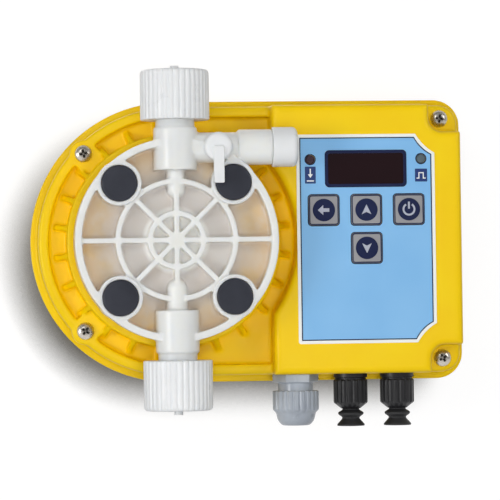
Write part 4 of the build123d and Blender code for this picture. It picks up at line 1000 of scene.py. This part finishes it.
def make_world():
    """Even light from all round, and plain white where the camera, glass or metal sees it."""
    world = bpy.data.worlds.new("studio")
    world.use_nodes = True
    nodes = world.node_tree.nodes
    links = world.node_tree.links
    strength = nodes.new("ShaderNodeMapRange")
    strength.inputs["To Min"].default_value = SKY
    strength.inputs["To Max"].default_value = 1.0
    # reflections show white behind the part, and the dimmer studio in front of it
    direction = nodes.new("ShaderNodeSeparateXYZ")
    links.new(nodes.new("ShaderNodeTexCoord").outputs["Generated"], direction.inputs["Vector"])
    behind = nodes.new("ShaderNodeMapRange")
    behind.inputs["From Min"].default_value = -0.4
    behind.inputs["From Max"].default_value = 0.1
    links.new(direction.outputs["Y"], behind.inputs["Value"])
    links.new(white_factor(world.node_tree, behind.outputs["Result"]), strength.inputs["Value"])
    links.new(strength.outputs["Result"], nodes["Background"].inputs["Strength"])
    nodes["Background"].inputs["Color"].default_value = WHITE
    bpy.context.scene.world = world


def plane(name, corners):
    """One flat face through four corners, in metres; its front is the side that sees them anticlockwise."""
    mesh = bpy.data.meshes.new(name)
    mesh.from_pydata([Vector(c) for c in corners], [], [(0, 1, 2, 3)])
    return link(bpy.data.objects.new(name, mesh))


def white_factor(tree, glossy_share=None):
    """Socket that is 1 for camera, transmission and glossy rays, or a share for the last, and else 0."""
    def maths(operation, first, second):
        node = tree.nodes.new("ShaderNodeMath")
        node.operation = operation
        tree.links.new(first, node.inputs[0])
        tree.links.new(second, node.inputs[1])
        return node.outputs["Value"]

    path = tree.nodes.new("ShaderNodeLightPath")
    glossy = path.outputs["Is Glossy Ray"]
    if glossy_share is not None:
        glossy = maths("MULTIPLY", glossy, glossy_share)
    seen = maths("MAXIMUM", path.outputs["Is Camera Ray"], path.outputs["Is Transmission Ray"])
    return maths("MAXIMUM", seen, glossy)


def stage_paint():
    """Pale matt paint, partly white by itself, so that the stage ends in white and keeps a grey shadow,
    cast in part and painted in part.

    It is only there from its front. It also lets shadow rays through, and rays from right against it, so
    that lamps behind it light the part's back and underside.
    """
    paint = Shader("stage_paint", STAGE_COLOUR, 0.9).set(Specular_IOR_Level=0.0)
    paint.set(Emission_Color=WHITE)
    nodes = paint.tree.nodes
    # the part's soft painted shadow: the paint's own white is dimmed where the part hides the sky, close to
    # it and away from the upper right
    toward = nodes.new("ShaderNodeCombineXYZ")
    for letter, value in zip("XYZ", SHADOW_FROM):
        toward.inputs[letter].default_value = value
    open_share = nodes.new("ShaderNodeAmbientOcclusion")
    open_share.inputs["Distance"].default_value = SHADOW_REACH
    paint.link(toward.outputs["Vector"], open_share.inputs["Normal"])
    painted_light_share = paint.ramp(open_share.outputs["AO"], *SHADOW_RANGE)
    painted_yellow_light = paint.maths("MULTIPLY", white_factor(paint.tree), painted_light_share)
    strength = paint.maths("MULTIPLY", painted_yellow_light, STAGE_GLOW)
    paint.link(strength, paint.surface.inputs["Emission Strength"])
    path = nodes.new("ShaderNodeLightPath")
    close = paint.maths("LESS_THAN", path.outputs["Ray Length"], CONTACT)
    behind = nodes.new("ShaderNodeNewGeometry").outputs["Backfacing"]
    gone = paint.maths("MAXIMUM", paint.maths("MAXIMUM", behind, path.outputs["Is Shadow Ray"]), close)
    mix = nodes.new("ShaderNodeMixShader")
    paint.link(gone, mix.inputs["Fac"])
    paint.link(paint.surface.outputs["BSDF"], mix.inputs[1])
    paint.link(nodes.new("ShaderNodeBsdfTransparent").outputs["BSDF"], mix.inputs[2])
    paint.link(mix.outputs["Shader"], nodes["Material Output"].inputs["Surface"])
    return paint.material


def make_stage():
    """A wall behind the part and a floor below it."""
    paint = stage_paint()
    side, reach = WALL_HALF_W, FLOOR_HALF_W
    wall = plane("wall", [
        (-side, WALL_Y, FLOOR_Z),
        (side, WALL_Y, FLOOR_Z),
        (side, WALL_Y, WALL_TOP),
        (-side, WALL_Y, WALL_TOP),
    ])
    floor = plane("floor", [
        (-reach, -reach, FLOOR_Z),
        (reach, -reach, FLOOR_Z),
        (reach, reach, FLOOR_Z),
        (-reach, reach, FLOOR_Z),
    ])
    for piece in (wall, floor):
        piece.data.materials.append(paint)


# ---------------------------------------------------------------- the scene
bpy.context.scene.view_settings.view_transform = "Standard"
make_camera()
make_lights()
make_world()
make_stage()

MATERIALS = finishes()
INKS = {
    "navy": film("navy_ink", srgb(14, 24, 60), srgb(22, 33, 76)),
    "blue": film("blue_ink", srgb(126, 184, 232), srgb(144, 198, 240)),
    "icon": film("icon_ink", srgb(34, 56, 112), srgb(48, 72, 128)),
    "symbol": film("symbol_ink", srgb(168, 172, 186), srgb(184, 188, 200)),
}
SLOTS = slot_of_nodes()
for node, item in frame["nodes"].items():
    item.data.materials.clear()
    item.data.materials.append(MATERIALS[SLOTS[node]])

# symbols round their own centre
ARROW = [(0, 2.5), (2.3, -2.2), (0, -1.1), (-2.3, -2.2)]
BACK_ARROW = [(-2.9, 0), (-0.3, 2.4), (-0.3, 0.85), (2.6, 0.85), (2.6, -0.85), (-0.3, -0.85), (-0.3, -2.4)]
POWER_RING = arc((0, 0), 3.1, 122, 418, 40) + arc((0, 0), 2.2, 418, 122, 40)
POWER_BAR = [(-0.45, 0.2), (0.45, 0.2), (0.45, 3.6), (-0.45, 3.6)]
KEY_MARKS = {
    "key_back": [BACK_ARROW],
    "key_up": [ARROW],
    "key_power": [POWER_RING, POWER_BAR],
    "key_down": [[(-x, -z) for x, z in ARROW]],
}
PULSE = [(-2.2, -1.7), (-0.8, -1.7), (-0.8, 0.9), (0.8, 0.9), (0.8, -1.7), (2.2, -1.7)]
PULSE += [(2.2, -1.2), (1.3, -1.2), (1.3, 1.4), (-1.3, 1.4), (-1.3, -1.2), (-2.2, -1.2)]
LEVEL_ARROW = [(-0.3, 3.0), (0.3, 3.0), (0.3, 0.4), (1.2, 0.4), (0, -1.4), (-1.2, 0.4), (-0.3, 0.4)]
LEVEL_LINE = [(-1.7, -3.1), (1.7, -3.1), (1.7, -2.5), (-1.7, -2.5)]
# name, centre, width, height, marks
ICONS = (
    ("level", (LAMPS[0][0], LAMP_Z - LEVEL_ICON_DROP), 5.2, 8.1, [LEVEL_ARROW, LEVEL_LINE]),
    ("pulse", (LAMPS[1][0], LAMP_Z - PULSE_ICON_DROP), 5.9, 6.2, [PULSE]),
)
print_on_panel()
for name, centre in KEYS.items():
    dress_key(name, centre, KEY_MARKS[name])

# node, skin spacing in mm, smoothing rounds, share of faces kept
SKINS = (
    ("front_shell", 0.7, 4, 0.3),
    ("rear_shell", 0.9, 4, 0.25),
    ("pump_head", 0.5, 5, 0.4),
    ("bleed_nut", 0.3, 4, 0.5),
    ("bleed_lever", 0.25, 5, 0.5),
    ("bolt_caps", 0.35, 4, 0.5),
    ("gland_body", 0.3, 3, 0.5),
)
for node, voxel, rounds, keep in SKINS:
    moulded_copy(node, voxel, rounds, keep)

union_nut("discharge_nut", 1)
union_nut("suction_nut", -1)
dome_nut("gland_dome_nut")
plug("level_plug", "level_boot")
plug("pulse_plug", "pulse_boot")
pan_head_screws("housing_screws")
shortening_spring("return_spring")
bending_diaphragm("diaphragm")
